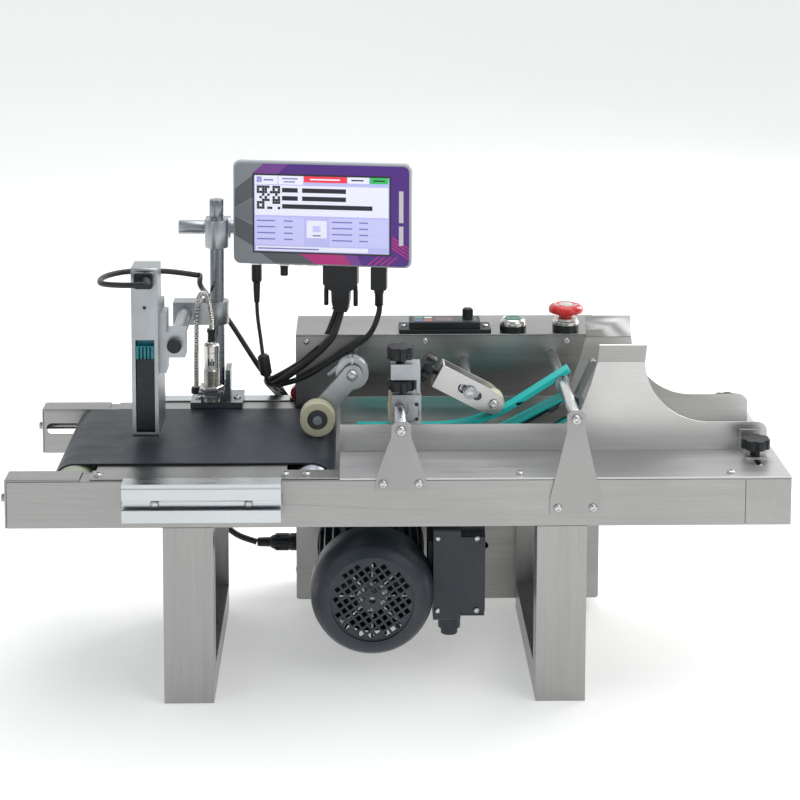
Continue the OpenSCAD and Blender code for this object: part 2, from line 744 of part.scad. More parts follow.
module box_body() color(steel) in_frame() difference() {
    box(box_x0, box_y + sheet, box_foot_z, box_w, box_d - sheet, box_top_z - sheet - box_foot_z);
    box(box_x0 + sheet, box_y, box_foot_z + sheet, box_w - 2 * sheet, box_d - sheet,
        box_top_z - box_foot_z);
    box(box_x0 - 1, 278, 231, 4, 14, 22);
    box(box_x0 - 1, 272, 50, 4, 28, 24);
    for (i = [0:7]) box(20 + i * 12, box_back_y - 3, 150, 4, 4, 50);
}

module box_panel() color(steel) in_frame() difference() {
    plate_xz(box_y, sheet)
        round_rect(box_x0, box_foot_z, box_w, box_top_z - sheet - box_foot_z, 4);
    rod_y(9, box_y - 1, 4, motor_x, motor_z);
    rod_y(9, box_y - 1, 4, drive_x, roller_z);
    rod_y(7, box_y - 1, 4, feed_drive_x, feed_z);
    rod_y(4, box_y - 1, 4, 104.8, 73.2);
}

module box_top() color(steel) in_frame() difference() {
    box(box_x0, box_y, box_top_z - sheet, box_w, box_d, sheet);
    for (x = [start_x, estop_x]) rod_z(11.1, box_top_z - 3, 4, x, control_y);
    rod_z(5, box_top_z - 3, 4, knob_x, control_y + 5);
}

module electronics() color("darkgreen") in_frame() {
    box(70, box_back_y - 45, 110, 120, 42, 80);
    difference() {
        box(-60, box_back_y - 12, 120, 110, 1.6, 90);
        for (x = [-55, 45], z = [125, 205]) rod_y(1.6, box_back_y - 13, 4, x, z);
    }
    for (x = [-50:24:30]) box(x, box_back_y - 30, 130, 18, 18, 26);
    for (x = [-55, 45], z = [125, 205]) rod_y(1.5, box_back_y - 10.4, 8.4, x, z);
}

module speed_controller() color(black) in_frame() difference() {
    union() {
        box(speed_x, control_y - 13, box_top_z, 105, 35, 5);
        box(speed_x + 12, control_y - 11, box_top_z + 4.9, 81, 31, 8.1);
    }
    rod_z(3 + run, box_top_z - 1, 20, knob_x, control_y + 5);
    for (x = [speed_x + 6, speed_x + 99]) rod_z(2, box_top_z - 1, 7, x, control_y + 5);
}

module speed_knob() color(black) in_frame() translate([knob_x, control_y + 5, box_top_z]) {
    difference() {
        rod_z(6.3, 13.4, 12, 0, 0);
        for (i = [0:11]) rotate(i * 30) box(6, -0.4, 13, 1, 0.8, 11);
    }
    rod_z(3, -6, 20, 0, 0);
}

module button_collars() color(black) in_frame() {
    difference() {
        union() {
            rod_z(14.7, box_top_z, 9, start_x, control_y);
            rod_z(14.7, box_top_z + 9, 7, start_x, control_y);
            rod_z(11, box_top_z - 30, 31, start_x, control_y);
        }
        rod_z(11 - 0.8, box_top_z - 4, 40, start_x, control_y);
    }
    difference() {
        union() {
            rod_z(15, box_top_z, 11, estop_x, control_y);
            rod_z(13, box_top_z + 11, 6, estop_x, control_y);
            rod_z(11, box_top_z - 34, 35, estop_x, control_y);
        }
        rod_z(8 + run, box_top_z - 12, 50, estop_x, control_y);
    }
}

module start_cap() color("green") in_frame()
    rod_z(10, box_top_z + 1, 14.5, start_x, control_y);

module estop_head() color("red") in_frame() translate([estop_x, control_y, box_top_z]) {
    rod_z(8, -4, 26, 0, 0);
    rotate_extrude($fn = 64) polygon([[0, 21.5], [19, 21.5], [20, 23], [20, 26],
        [18.5, 29], [15, 30.6], [10, 31.4], [0, 31.8]]);
}

module rocker_switch() color("red") in_frame() translate(rocker) difference() {
    union() {
        rod_y(8, -5, 10, 0.5, 0);
        rod_y(3, -6, 12, 0.5, 0);
    }
    box(-0.8, -5.2, -9, 12, 10.4, 3);
    box(-0.8, -5.2, 6, 12, 10.4, 3);
}

// ---- motor ----

module motor_body() color(black) in_frame() translate([motor_x, 0, motor_z]) difference() {
    union() {
        rod_y(52, 86, 112, 0, 0);
        for (i = [0:23]) rotate([0, i * 15, 0]) box(48, 88, -1.2, 11, 108, 2.4);
        rod_y(60, 196, 8, 0, 0);
        for (a = [45:90:315]) rotate([0, a, 0]) rod_y(6, 200, box_y - 200.1, 48, 0);
    }
    rod_y(7 + run, 80, 130, 0, 0);
    rod_y(42, 84, 8, 0, 0);
}

module grille_holes() intersection() {
    circle(grille_r - 2);
    rotate(35) for (i = [-6:6], j = [-6:6])
        if (norm([i, j]) * 7.6 < grille_r - 4 && norm([i, j]) > 1.3)
            translate([i * 7.6, j * 7.6]) square(5.2, center = true);
}

module fan_cover() color(charcoal) in_frame() translate([motor_x, 0, motor_z]) {
    translate([0, 86, 0]) rotate([90, 0, 0]) rotate_extrude($fn = 96) polygon([
        [fan_cover_r, 0], [fan_cover_r, 24], [fan_cover_r - 2, 32], [fan_cover_r - 7, 40],
        [fan_cover_r - 14, 45], [grille_r + 3, 47], [grille_r, 47], [grille_r, 42],
        [grille_r + 3, 44], [fan_cover_r - 15, 42], [fan_cover_r - 8.5, 38],
        [fan_cover_r - 4, 31], [fan_cover_r - 2.5, 24], [fan_cover_r - 2.5, 0]]);
    translate([0, 44, 0]) rotate([90, 0, 0]) linear_extrude(2.5) difference() {
        circle(grille_r + 0.4, $fn = 96);
        grille_holes();
        circle(3.5);
    }
}

module motor_rotor() color(alloy) in_frame() translate([motor_x, 0, motor_z]) {
    rod_y(7, 48, pulley_y + pulley_w + 6 - 48, 0, 0);
    rod_y(16, 52, 18, 0, 0);
    for (i = [0:7]) rotate([0, i * 45, 0]) box(14, 54, -1, 40, 20, 2);
    rod_y(motor_pulley_r, pulley_y, pulley_w, 0, 0);
    for (y = [pulley_y - 1.5, pulley_y + pulley_w]) rod_y(motor_pulley_r + 1.5, y, 1.5, 0, 0);
}

module terminal_box() color(charcoal) in_frame() {
    box(motor_x + 60.5, 96, 90, 6, 44, 44);
    plate_yz(38, 29) round_rect(72, 55, 84, 103, 5);
    plate_yz(67, 26) difference() {
        round_rect(73, 57, 82, 99, 5);
        for (y = [73, 155], z = [57, 156]) translate([y, z]) circle(9);
    }
    rod_z(12, 42, 14, 56, 92);
    rod_z(9, 35, 8, 56, 92);
}

module timing_outline(grow) hull() {
    translate([motor_x, motor_z]) circle(motor_pulley_r + grow, $fn = 64);
    translate([drive_x, roller_z]) circle(roller_pulley_r + grow, $fn = 64);
    translate([feed_drive_x, feed_z]) circle(feed_pulley_r + grow, $fn = 64);
}

module timing_belt() color(black) in_frame() plate_xz(pulley_y + 1, pulley_w - 2)
    difference() {
        timing_outline(1.4);
        timing_outline(0.15);
    }

// ---- print head and mast ----

module mast() color(alloy) in_frame() {
    rod_z(mast_r, rail_shelf_z + mast_base_t,
        mast_top_z - free_end - 1 - rail_shelf_z - mast_base_t, mast_x, mast_y);
    rod_z(mast_r - 0.4, mast_top_z - free_end - 1.5, 2, mast_x, mast_y);
    rod_z(mast_r, mast_top_z - free_end, free_end, mast_x, mast_y);
    box(mast_x - 30, rear_rail_y - 3, rail_shelf_z, 59, 50, mast_base_t);
    difference() {
        rod_z(15, rail_shelf_z, 24, mast_x, mast_y);
        rod_z(mast_r, rail_shelf_z + mast_base_t, 40, mast_x, mast_y);
    }
    box(mast_x + 9.5, rear_rail_y, rail_shelf_z + 6, 6, 30, 37);
    difference() {
        union() {
            box(sensor_x - 14, sensor_y - 13, 264, 28, rear_rail_y - sensor_y + 13, 3);
            box(sensor_x - 14, rear_rail_y - 3, rail_shelf_z, 28, 3, 267 - rail_shelf_z);
        }
        rod_z(9 + run, 260, 10, sensor_x, sensor_y);
    }
}

module controller_arm() color(alloy) in_frame() {
    difference() {
        union() {
            rod_z(13.3, cross_z - 16, 32, mast_x, mast_y);
            box(mast_x - 10, mast_y, cross_z - 12, 20, 26, 24);
            rod_x(13, mast_x - 14, 28, cross_y, cross_z);
        }
        rod_z(mast_r + run, cross_z - 17, 34, mast_x, mast_y);
        rod_x(mast_r, mast_x - 15, 30, cross_y, cross_z);
    }
    cross_x = mast_x - 45.5;
    rod_x(mast_r, cross_x, cross_free_end, cross_y, cross_z);
    rod_x(mast_r - 0.4, cross_x + cross_free_end - 0.5, 2, cross_y, cross_z);
    rod_x(mast_r, cross_x + cross_free_end + 1, 164 - cross_free_end, cross_y, cross_z);
}

module head_arm() color(alloy) in_frame() {
    difference() {
        union() {
            rod_z(13.3, arm_z - 12.5, 26, mast_x, mast_y);
            box(arm_x - 14, mast_y - 11, arm_z - 12.5, mast_x - arm_x + 14, 22, 26);
        }
        rod_z(mast_r + run, arm_z - 14, 30, mast_x, mast_y);
        rod_y(mast_r, mast_y - 12, 24, arm_x, arm_z);
    }
    rod_y(mast_r, 114, mast_y + 16 - 114, arm_x, arm_z);
    rod_y(mast_r + 0.4, 110, 4, arm_x, arm_z);
}

module head_shell_side() union() {
    round_rect(head_y, head_z, head_d, 137, 4);
    round_rect(head_y, head_z + 110, 38, head_top - head_z - 110, 3);
}

module head_housing() color(alloy) in_frame() {
    difference() {
        union() {
            plate_yz(head_x, head_w) head_shell_side();
            box(head_x + head_w - 0.1, 114, arm_z - 31, 7.1, 30, 65);
        }
        box(head_x + 4, head_y - 1, head_z + 6, head_w - 8, head_d - 4, 100);
        box(head_x + 4, head_y + 4, head_z + 90, head_w - 8, head_d - 10, 36);
        box(head_x + 4, head_y + 12, head_z - 1, head_w - 8, 40, 10);
        rod_y(2, head_y - 1, 8, head_x + 14, head_top - 42);
    }
    difference() {
        box(head_x + head_w + 6.9, 114, arm_z - 14, 20.1, 26, 28);
        rod_y(mast_r + run, 113, 28, arm_x, arm_z);
    }
    box(head_x + 4, head_y - 7, head_top - 20, 20, 7.1, 17);
}

module ink_cartridge() color(black) in_frame() {
    box(head_x + 4.5, head_y + 3, head_z + 7, head_w - 9, head_d - 10, 78);
    box(head_x + 6, head_y + 14, head_z + 6.3, head_w - 12, 34, 1);
}

module cartridge_grip() color(teal) in_frame() difference() {
    box(head_x + 4.5, head_y + 1, head_z + 85, head_w - 9, 20, 20);
    for (i = [0:3]) box(head_x + 7.2 + i * 3.8, head_y, head_z + 84, 1.6, 8, 14);
    box(head_x + 4, head_y, head_z + 99, head_w - 8, 9, 8);
}

module sensor() color(steel) in_frame() difference() {
    rod_z(9, 252, 70, sensor_x, sensor_y);
    rod_z(7, 251, 2, sensor_x, sensor_y);
}

// ---- controller ----

// Local frame of the controller: X across its face, -Y out of the screen, Z up its face.
module in_panel() translate([panel_x, panel_y, panel_z]) rotate([0, 0, -panel_yaw]) children();

module controller_shell() color(alloy) in_frame() {
    in_panel() {
        plate_xz(3, 9) round_rect(-panel_w / 2, -panel_h / 2, panel_w, panel_h, 6);
        box(-72, 11.9, -panel_h / 2 + 8, 144, 12, panel_h - 16);
        for (plug = [[-77, 6], [-45, 5], [64, 9]])
            box(plug[0] - plug[1], 4, -panel_h / 2 - 42, 2 * plug[1], 9, 43);
        box(0, 2.5, -panel_h / 2 - 26, 38, 11, 27);
        box(8, 3, -panel_h / 2 - 56, 22, 10, 31);
    }
    difference() {
        union() {
            rod_x(13, -118, 34, cross_y, cross_z);
            box(-116, cross_y - 24, cross_z - 10, 30, 14, 20);
        }
        rod_x(mast_r + run, -120, 38, cross_y, cross_z);
    }
}

module controller_front() color(black) in_frame() in_panel() {
    plate_xz(0, 3) round_rect(-panel_w / 2 + 1.5, -panel_h / 2 + 1.5, panel_w - 3,
        panel_h - 3, 5);
}

// ---- cables ----

module cables() color(black) in_frame() {
    cable([[-264, 84, 421], [-264, 76, 420], [-290, 78, 419], [-312, 96, 417],
        [-312, 130, 416], [-290, 156, 415], [-262, 176, 410], [-240, 205, 396],
        [-226, 232, 380], [-216, 275, 360], [-190, 276, 330], [-153, 266, 275],
        [-141, 284, 258], [-132, 299, 240], [-123, 304, 224], [-115, 306, 215]], 3);
    cable([[-163, 246, 352], [-158, 244, 318], [-150, 242, 288], [-144, 248, 264],
        [-138, 274, 254], [-129, 299, 240], [-121, 305, 227], [-115, 308, 222]], 2.2);
    cable([[-60, 238, 338], [-66, 235, 318], [-92, 234, 295], [-128, 240, 266],
        [-141, 266, 257], [-135, 299, 246], [-125, 305, 230], [-118, 307, 219]], 4);
    cable([[-18, 232, 352], [-30, 232, 330], [-62, 233, 306], [-104, 234, 274],
        [-131, 243, 260], [-142, 268, 256], [-136, 300, 240], [-124, 308, 224],
        [-117, 309, 214]], 3);
    cable([[-205.5, 215, 328], [-206, 216, 360], [-212, 222, 374], [-222, 230, 362],
        [-222, 231, 300], [-224, 231, 262]], 2.6);
    cable([[-114, 286, 62], [-160, 286, 62]], 9);
    cable([[-160, 286, 62], [-186, 284, 74], [-205, 280, 100], [-190, 276, 140],
        [-150, 274, 160], [-125, 278, 170]], 3.5);
}

// ---- fasteners ----

module screws() color(steel) in_frame() {
    for (x = [-306.6, -116.4]) screw_up(x, 13, table_h);
    screw_up(-94.5, 13, table_h);
    screw_up(-294, rear_rail_y + 13, table_h);
    for (x = [123.7, 339.8]) screw_up(x, 12, table_h);
    for (x = [-246.9, -152.4]) screw_front(x, -slot_rail_d + 6.8, 216);
    for (side = [-1, 1]) {
        screw_front(gate_x + side * 18.2, -2.5, 232);
        screw_front(strip_x + side * 17.9, -2.5, 206);
    }
    screw_front(gate_x, -2.5, gate_z, 3);
    screw_front(strip_x, -2.5, strip_z, 3);
    screw_front(hold_x, hold_y + 20, hold_z, 3.5);
    for (x = [box_x0 + 12, 35, box_x1 - 40]) screw_front(x, box_y, box_top_z - 8, 2);
    screw_left(box_x0, box_y + 40, 30);
    screw_right(box_x1, box_y + 40, 35);
    for (x = leg_x, z = [rail_foot - 22, rail_foot - 100])
        screw_front(x + leg_w / 2, rear_rail_y - 3, z);
    for (z = [259.2, 267.2]) difference() {
        translate([sensor_x, sensor_y, z]) cylinder(r = 13.5, h = 4.6, $fn = 6);
        rod_z(9 + run, z - 1, 7, sensor_x, sensor_y);
    }
    screw_up(mast_x + 22, mast_y, rail_shelf_z + mast_base_t);
    screw_up(mast_x - 22, mast_y, rail_shelf_z + mast_base_t);
}

front_rail();
rear_rail();
end_caps();
table_top();
legs();
conveyor_frame();
slotted_rails();
rod_brackets();
support_rods();
rod_collars();
conveyor_belt();
drive_roller();
tail_roller();
take_up();
front_guide();
rear_guide();
front_guide_knob();
rear_guide_knob();
hold_down_arm();
hold_down_roller();
pinch_bracket();
pinch_roller();
pinch_knob();
gate_bracket();
gate_knob();
gate_lock_knob();
separator();
hold_down_strip();
feed_belt();
feed_drive_pulley();
feed_bend_pulley();
feed_top_pulley();
feed_bed();
stack_support();
box_body();
box_panel();
box_top();
electronics();
speed_controller();
speed_knob();
button_collars();
start_cap();
estop_head();
rocker_switch();
motor_body();
fan_cover();
motor_rotor();
terminal_box();
timing_belt();
mast();
controller_arm();
head_arm();
head_housing();
ink_cartridge();
cartridge_grip();
sensor();
controller_shell();
controller_front();
cables();
screws();
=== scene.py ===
import json
import math

import bmesh
import bpy
from mathutils import Matrix, Vector, noise


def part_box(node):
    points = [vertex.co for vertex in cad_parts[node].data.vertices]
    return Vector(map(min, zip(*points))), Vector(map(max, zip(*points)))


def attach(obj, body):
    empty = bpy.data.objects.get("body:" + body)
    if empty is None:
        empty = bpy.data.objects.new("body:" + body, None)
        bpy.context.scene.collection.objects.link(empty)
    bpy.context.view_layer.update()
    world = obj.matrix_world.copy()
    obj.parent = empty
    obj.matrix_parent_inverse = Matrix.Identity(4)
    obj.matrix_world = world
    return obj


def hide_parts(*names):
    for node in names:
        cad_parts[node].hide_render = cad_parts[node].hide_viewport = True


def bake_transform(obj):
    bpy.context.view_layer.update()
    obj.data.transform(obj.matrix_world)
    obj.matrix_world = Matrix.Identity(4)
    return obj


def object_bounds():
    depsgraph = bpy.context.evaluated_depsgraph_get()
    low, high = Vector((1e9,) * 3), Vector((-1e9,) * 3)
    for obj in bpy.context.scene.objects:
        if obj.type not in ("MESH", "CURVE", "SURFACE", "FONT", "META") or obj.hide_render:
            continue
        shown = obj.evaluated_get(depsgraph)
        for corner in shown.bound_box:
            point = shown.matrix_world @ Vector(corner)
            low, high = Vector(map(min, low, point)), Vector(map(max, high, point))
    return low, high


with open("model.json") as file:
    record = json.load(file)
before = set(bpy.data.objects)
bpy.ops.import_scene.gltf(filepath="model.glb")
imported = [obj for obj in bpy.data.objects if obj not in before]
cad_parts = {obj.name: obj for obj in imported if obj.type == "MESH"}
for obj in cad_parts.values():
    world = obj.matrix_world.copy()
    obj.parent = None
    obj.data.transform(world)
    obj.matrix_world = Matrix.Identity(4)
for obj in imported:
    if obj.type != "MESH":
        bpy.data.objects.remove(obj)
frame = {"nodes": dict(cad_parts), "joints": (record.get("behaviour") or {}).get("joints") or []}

for name in ("Cube", "Light", "Camera"):
    if name in bpy.data.objects:
        bpy.data.objects.remove(bpy.data.objects[name])
cad_box = [list(corner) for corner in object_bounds()]

MM = 0.001
SHARP = math.radians(32)
X, Y, Z = Vector((1, 0, 0)), Vector((0, 1, 0)), Vector((0, 0, 1))
NODES = frame["nodes"]
JOINTS = {j["name"]: j for j in frame["joints"]}


def pivot(joint):
    return Vector(JOINTS[joint]["pos_m"])


def centre(node):
    low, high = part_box(node)
    return (low + high) / 2


def size(node):
    low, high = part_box(node)
    return high - low


# ---- materials -------------------------------------------------------------------------

class Nodes:
    """A material's node tree, with a Principled shader and the object's own coordinates in metres."""

    def __init__(self, name, metallic=0.0, roughness=0.5, **inputs):
        self.mat = bpy.data.materials.new(name)
        self.mat.use_nodes = True
        self.tree = self.mat.node_tree
        self.tree.nodes.clear()
        self.output = self.add("ShaderNodeOutputMaterial")
        self.bsdf = self.add("ShaderNodeBsdfPrincipled")
        self.join(self.bsdf.outputs[0], self.output.inputs[0])
        self.place = self.add("ShaderNodeTexCoord").outputs["Object"]
        self.set("Metallic", metallic)
        self.set("Roughness", roughness)
        for key, value in inputs.items():
            self.set(key.replace("_", " "), value)

    def add(self, kind, **settings):
        node = self.tree.nodes.new(kind)
        for key, value in settings.items():
            setattr(node, key, value)
        return node

    def join(self, source, target):
        self.tree.links.new(source, target)

    def set(self, key, value):
        self.bsdf.inputs[key].default_value = value

    def noise(self, scale, detail=3.0, roughness=0.5, stretch=(1, 1, 1), distortion=0.0):
        """Noise from 0 to 1. scale is in cycles per metre, and stretch multiplies it along each axis."""
        mapping = self.add("ShaderNodeMapping")
        mapping.inputs["Scale"].default_value = stretch
        self.join(self.place, mapping.inputs["Vector"])
        texture = self.add("ShaderNodeTexNoise")
        texture.inputs["Scale"].default_value = scale
        texture.inputs["Detail"].default_value = detail
        texture.inputs["Roughness"].default_value = roughness
        texture.inputs["Distortion"].default_value = distortion
        self.join(mapping.outputs[0], texture.inputs["Vector"])
        return texture.outputs["Fac"]

    def spread(self, value, low, high, start=0.3, end=0.7):
        """Maps value from start..end to low..high."""
        node = self.add("ShaderNodeMapRange")
        for key, number in (("From Min", start), ("From Max", end), ("To Min", low), ("To Max", high)):
            node.inputs[key].default_value = number
        self.join(value, node.inputs["Value"])
        return node.outputs[0]

    def math(self, operation, a, b):
        node = self.add("ShaderNodeMath", operation=operation)
        for socket, value in zip(node.inputs, (a, b)):
            if isinstance(value, (int, float)):
                socket.default_value = value
            else:
                self.join(value, socket)
        return node.outputs[0]

    def mix(self, factor, a, b, blend="MIX"):
        """Mixes two colours; each is a tuple of three or a socket."""
        node = self.add("ShaderNodeMix", data_type="RGBA", blend_type=blend)
        for socket, value in ((node.inputs[0], factor), (node.inputs[6], a), (node.inputs[7], b)):
            if isinstance(value, tuple):
                socket.default_value = (*value, 1)
            elif isinstance(value, (int, float)):
                socket.default_value = value
            else:
                self.join(value, socket)
        return node.outputs[2]

    def colour(self, socket):
        self.join(socket, self.bsdf.inputs["Base Color"])

    def rough(self, socket):
        self.join(socket, self.bsdf.inputs["Roughness"])

    def bump(self, height, strength=0.3, distance=0.0002, under=None):
        node = self.add("ShaderNodeBump")
        node.inputs["Strength"].default_value = strength
        node.inputs["Distance"].default_value = distance
        self.join(height, node.inputs["Height"])
        if under is not None:
            self.join(under, node.inputs["Normal"])
        self.join(node.outputs[0], self.bsdf.inputs["Normal"])
        return node.outputs[0]


GRAIN_ALONG = 0.02      # how much longer than wide the brushing streaks are, as a scale factor


def shade(colour, factor):
    return tuple(min(1.0, c * factor) for c in colour)


def brushed(name, colour, axis, roughness=0.3, grain=700, contrast=0.16):
    """Brushed sheet steel whose streaks run along one axis, with smudges and fine scratches."""
    n = Nodes(name, metallic=1.0)
    stretch = [1.0, 1.0, 1.0]
    stretch["XYZ".index(axis)] = GRAIN_ALONG
    fine = n.noise(grain, 4, 0.6, stretch)
    broad = n.noise(grain / 7, 3, 0.55, stretch)
    smudge = n.noise(7, 4, 0.6, distortion=0.6)
    streak = n.math("ADD", n.math("MULTIPLY", fine, 0.6), n.math("MULTIPLY", broad, 0.4))
    tone = n.mix(n.spread(streak, 0, 1), shade(colour, 1 - contrast), shade(colour, 1 + contrast / 2))
    n.colour(n.mix(n.spread(smudge, 0.0, 0.35), tone, shade(colour, 0.86)))
    n.rough(n.math("ADD", n.spread(streak, roughness - 0.06, roughness + 0.08),
                   n.spread(smudge, -0.03, 0.06)))
    n.bump(streak, 0.35, 0.00008)
    n.set("Anisotropic", 0.5)
    return n.mat


def anodised(name, colour, roughness=0.34, blast=2600):
    """Satin machined aluminium: a very fine blasted grain with faint handling marks."""
    n = Nodes(name, metallic=1.0)
    grain = n.noise(blast, 2, 0.5)
    marks = n.noise(26, 5, 0.65, distortion=1.2)
    n.colour(n.mix(n.spread(marks, 0, 0.6), colour, shade(colour, 0.84)))
    n.rough(n.math("ADD", n.spread(grain, roughness - 0.05, roughness + 0.06),
                   n.spread(marks, -0.04, 0.05)))
    n.bump(grain, 0.22, 0.00006)
    return n.mat


def turned(name, colour, axis="Y", roughness=0.18, rings=1800):
    """Turned or plated metal with faint tool rings along its axis."""
    n = Nodes(name, metallic=1.0)
    stretch = [0.05, 0.05, 0.05]
    stretch["XYZ".index(axis)] = 1.0
    rings_value = n.noise(rings, 2, 0.5, stretch)
    marks = n.noise(60, 4, 0.6)
    n.colour(n.mix(n.spread(marks, 0, 0.5), colour, shade(colour, 0.8)))
    n.rough(n.math("ADD", n.spread(rings_value, roughness - 0.03, roughness + 0.06),
                   n.spread(marks, -0.02, 0.05)))
    n.bump(rings_value, 0.18, 0.00005)
    return n.mat


def plastic(name, colour, roughness=0.42, texture=1500, depth=0.25, coat=0.0):
    """Moulded plastic: spark-eroded texture, slight colour drift and a few dull patches."""
    n = Nodes(name, roughness=roughness, Coat_Weight=coat, Coat_Roughness=0.12)
    grain = n.noise(texture, 2, 0.5)
    drift = n.noise(45, 4, 0.6)
    n.colour(n.mix(n.spread(drift, 0, 1), shade(colour, 0.85), shade(colour, 1.18)))
    n.rough(n.math("ADD", n.spread(grain, roughness - 0.05, roughness + 0.07),
                   n.spread(drift, -0.05, 0.05)))
    n.bump(grain, depth, 0.00008)
    return n.mat


def rubber(name, colour, roughness=0.55, dust=(0.35, 0.35, 0.33), dust_share=0.12, sheen=0.15):
    """Rubber or urethane: matt with a soft sheen, fine pitting and a trace of dust."""
    n = Nodes(name, roughness=roughness, Sheen_Weight=sheen, Sheen_Roughness=0.4)
    pits = n.noise(1900, 3, 0.6)
    wear = n.noise(30, 5, 0.65, distortion=0.8)
    n.colour(n.mix(n.spread(wear, 0, dust_share, 0.45, 0.8), colour, dust))
    n.rough(n.math("ADD", n.spread(pits, roughness - 0.06, roughness + 0.06),
                   n.spread(wear, -0.06, 0.08)))
    n.bump(pits, 0.25, 0.0001)
    return n.mat


def painted(name, colour, roughness=0.36, peel=520, depth=0.3, dust_share=0.1):
    """Sprayed paint over a casting: orange peel, and a little dust that lies in patches."""
    n = Nodes(name, roughness=roughness, Coat_Weight=0.15, Coat_Roughness=0.2)
    orange_peel = n.noise(peel, 3, 0.55)
    fine = n.noise(2400, 2, 0.5)
    dust = n.noise(18, 5, 0.65, distortion=0.5)
    n.colour(n.mix(n.spread(dust, 0, dust_share, 0.4, 0.75), colour, (0.3, 0.31, 0.31)))
    n.rough(n.math("ADD", n.spread(orange_peel, roughness - 0.05, roughness + 0.05),
                   n.spread(dust, -0.04, 0.1)))
    n.bump(n.math("ADD", orange_peel, n.math("MULTIPLY", fine, 0.3)), depth, 0.00015)
    return n.mat


def lit(name, colour, strength=0.6, roughness=0.12):
    """A lit area of the display behind its cover film, with a faint pixel grid."""
    n = Nodes(name, roughness=roughness, Emission_Strength=strength)
    grid = n.noise(2200, 1, 0.5)
    haze = n.noise(12, 2, 0.5)
    tone = n.mix(n.spread(grid, 0, 1), shade(colour, 0.93), shade(colour, 1.05))
    tone = n.mix(n.spread(haze, 0, 0.2), tone, shade(colour, 0.9))
    n.colour(tone)
    n.join(tone, n.bsdf.inputs["Emission Color"])
    return n.mat


def printed(name, colour, second=None, roughness=0.3):
    """Printed cover film: one ink fading into a second one up the panel, under a satin surface."""
    n = Nodes(name, roughness=roughness, Coat_Weight=0.3, Coat_Roughness=0.15)
    drift = n.noise(9, 3, 0.5)
    weave = n.noise(2600, 2, 0.5)
    n.colour(n.mix(n.spread(drift, 0, 1), colour, second or shade(colour, 1.25)))
    n.rough(n.spread(weave, roughness - 0.05, roughness + 0.05))
    n.bump(weave, 0.1, 0.00004)
    return n.mat


STEEL = (0.385, 0.382, 0.375)
steel_x = brushed("steel_brushed_along", STEEL, "X", 0.30)
steel_y = brushed("steel_brushed_across", STEEL, "Y", 0.30)
steel_z = brushed("steel_brushed_upright", STEEL, "Z", 0.30)
# painted light: the guides use the frame steel lifted 1.85 times, painting in the bright light they catch
steel_guide_painted_bright = brushed("steel_guide_painted_bright", shade(STEEL, 1.85), "X", 0.36, 800, 0.16)
steel_bracket = brushed("steel_bracket", shade(STEEL, 1.02), "Z", 0.42, 900, 0.06)
# painted light: the table top uses the frame steel lifted 1.72 times, painting in the light it reflects
steel_top_painted_bright = brushed("steel_table_painted_bright", shade(STEEL, 1.72), "X", 0.38, 800, 0.16)
steel_dark = brushed("steel_panel", shade(STEEL, 1.05), "X", 0.33, 600, 0.2)
aluminium = anodised("anodised_aluminium", (0.46, 0.485, 0.505))
aluminium_rail = brushed("extruded_aluminium", (0.62, 0.645, 0.665), "X", 0.26, 420, 0.08)
rod_steel = turned("ground_rod", (0.72, 0.72, 0.71), "Y", 0.22)
mast_steel = turned("ground_mast", (0.30, 0.325, 0.345), "Z", 0.24)
nickel = turned("nickel_plate", (0.72, 0.70, 0.66), "Z", 0.16, 900)
zinc = turned("zinc_screw", (0.66, 0.66, 0.65), "Z", 0.24, 1500)
roller_metal = turned("turned_roller", (0.60, 0.61, 0.62), "Y", 0.28)
belt_rubber = rubber("conveyor_belt_cover", (0.012, 0.019, 0.029), 0.46, (0.10, 0.12, 0.15), 0.08, 0.05)
cable_rubber = rubber("cable_jacket", (0.012, 0.013, 0.015), 0.45, dust_share=0.05)
cream = rubber("cream_urethane", (0.60, 0.57, 0.40), 0.42, (0.38, 0.33, 0.2), 0.25, 0.05)
cream_green = rubber("roller_lagging", (0.42, 0.47, 0.35), 0.5, (0.3, 0.3, 0.22), 0.25)
teal = rubber("teal_urethane", (0.004, 0.56, 0.52), 0.42, (0.01, 0.60, 0.56), 0.3, 0.0)
teal_grip = plastic("teal_grip", (0.012, 0.25, 0.29), 0.36, coat=0.1)
black = plastic("black_plastic", (0.007, 0.009, 0.012), 0.42)
black_gloss = plastic("black_gloss_plastic", (0.003, 0.004, 0.006), 0.3, 600, 0.08)
grey_plastic = plastic("dark_grey_plastic", (0.06, 0.065, 0.07), 0.4)
shell_paint = painted("light_grey_paint", (0.50, 0.53, 0.56), 0.34, 900, 0.15, 0.05)
motor_paint = painted("dark_motor_paint", (0.011, 0.019, 0.029), 0.42)
red = plastic("red_plastic", (0.62, 0.010, 0.014), 0.24, 500, 0.08, coat=0.4)
green = plastic("green_plastic", (0.02, 0.16, 0.105), 0.3, 700, 0.1, coat=0.3)
white_print = plastic("pale_print", (0.62, 0.60, 0.58), 0.4)
board = plastic("circuit_board", (0.01, 0.11, 0.05), 0.35, 400, 0.5)

# ---- CAD nodes that stay: finish and softened edges -------------------------------------

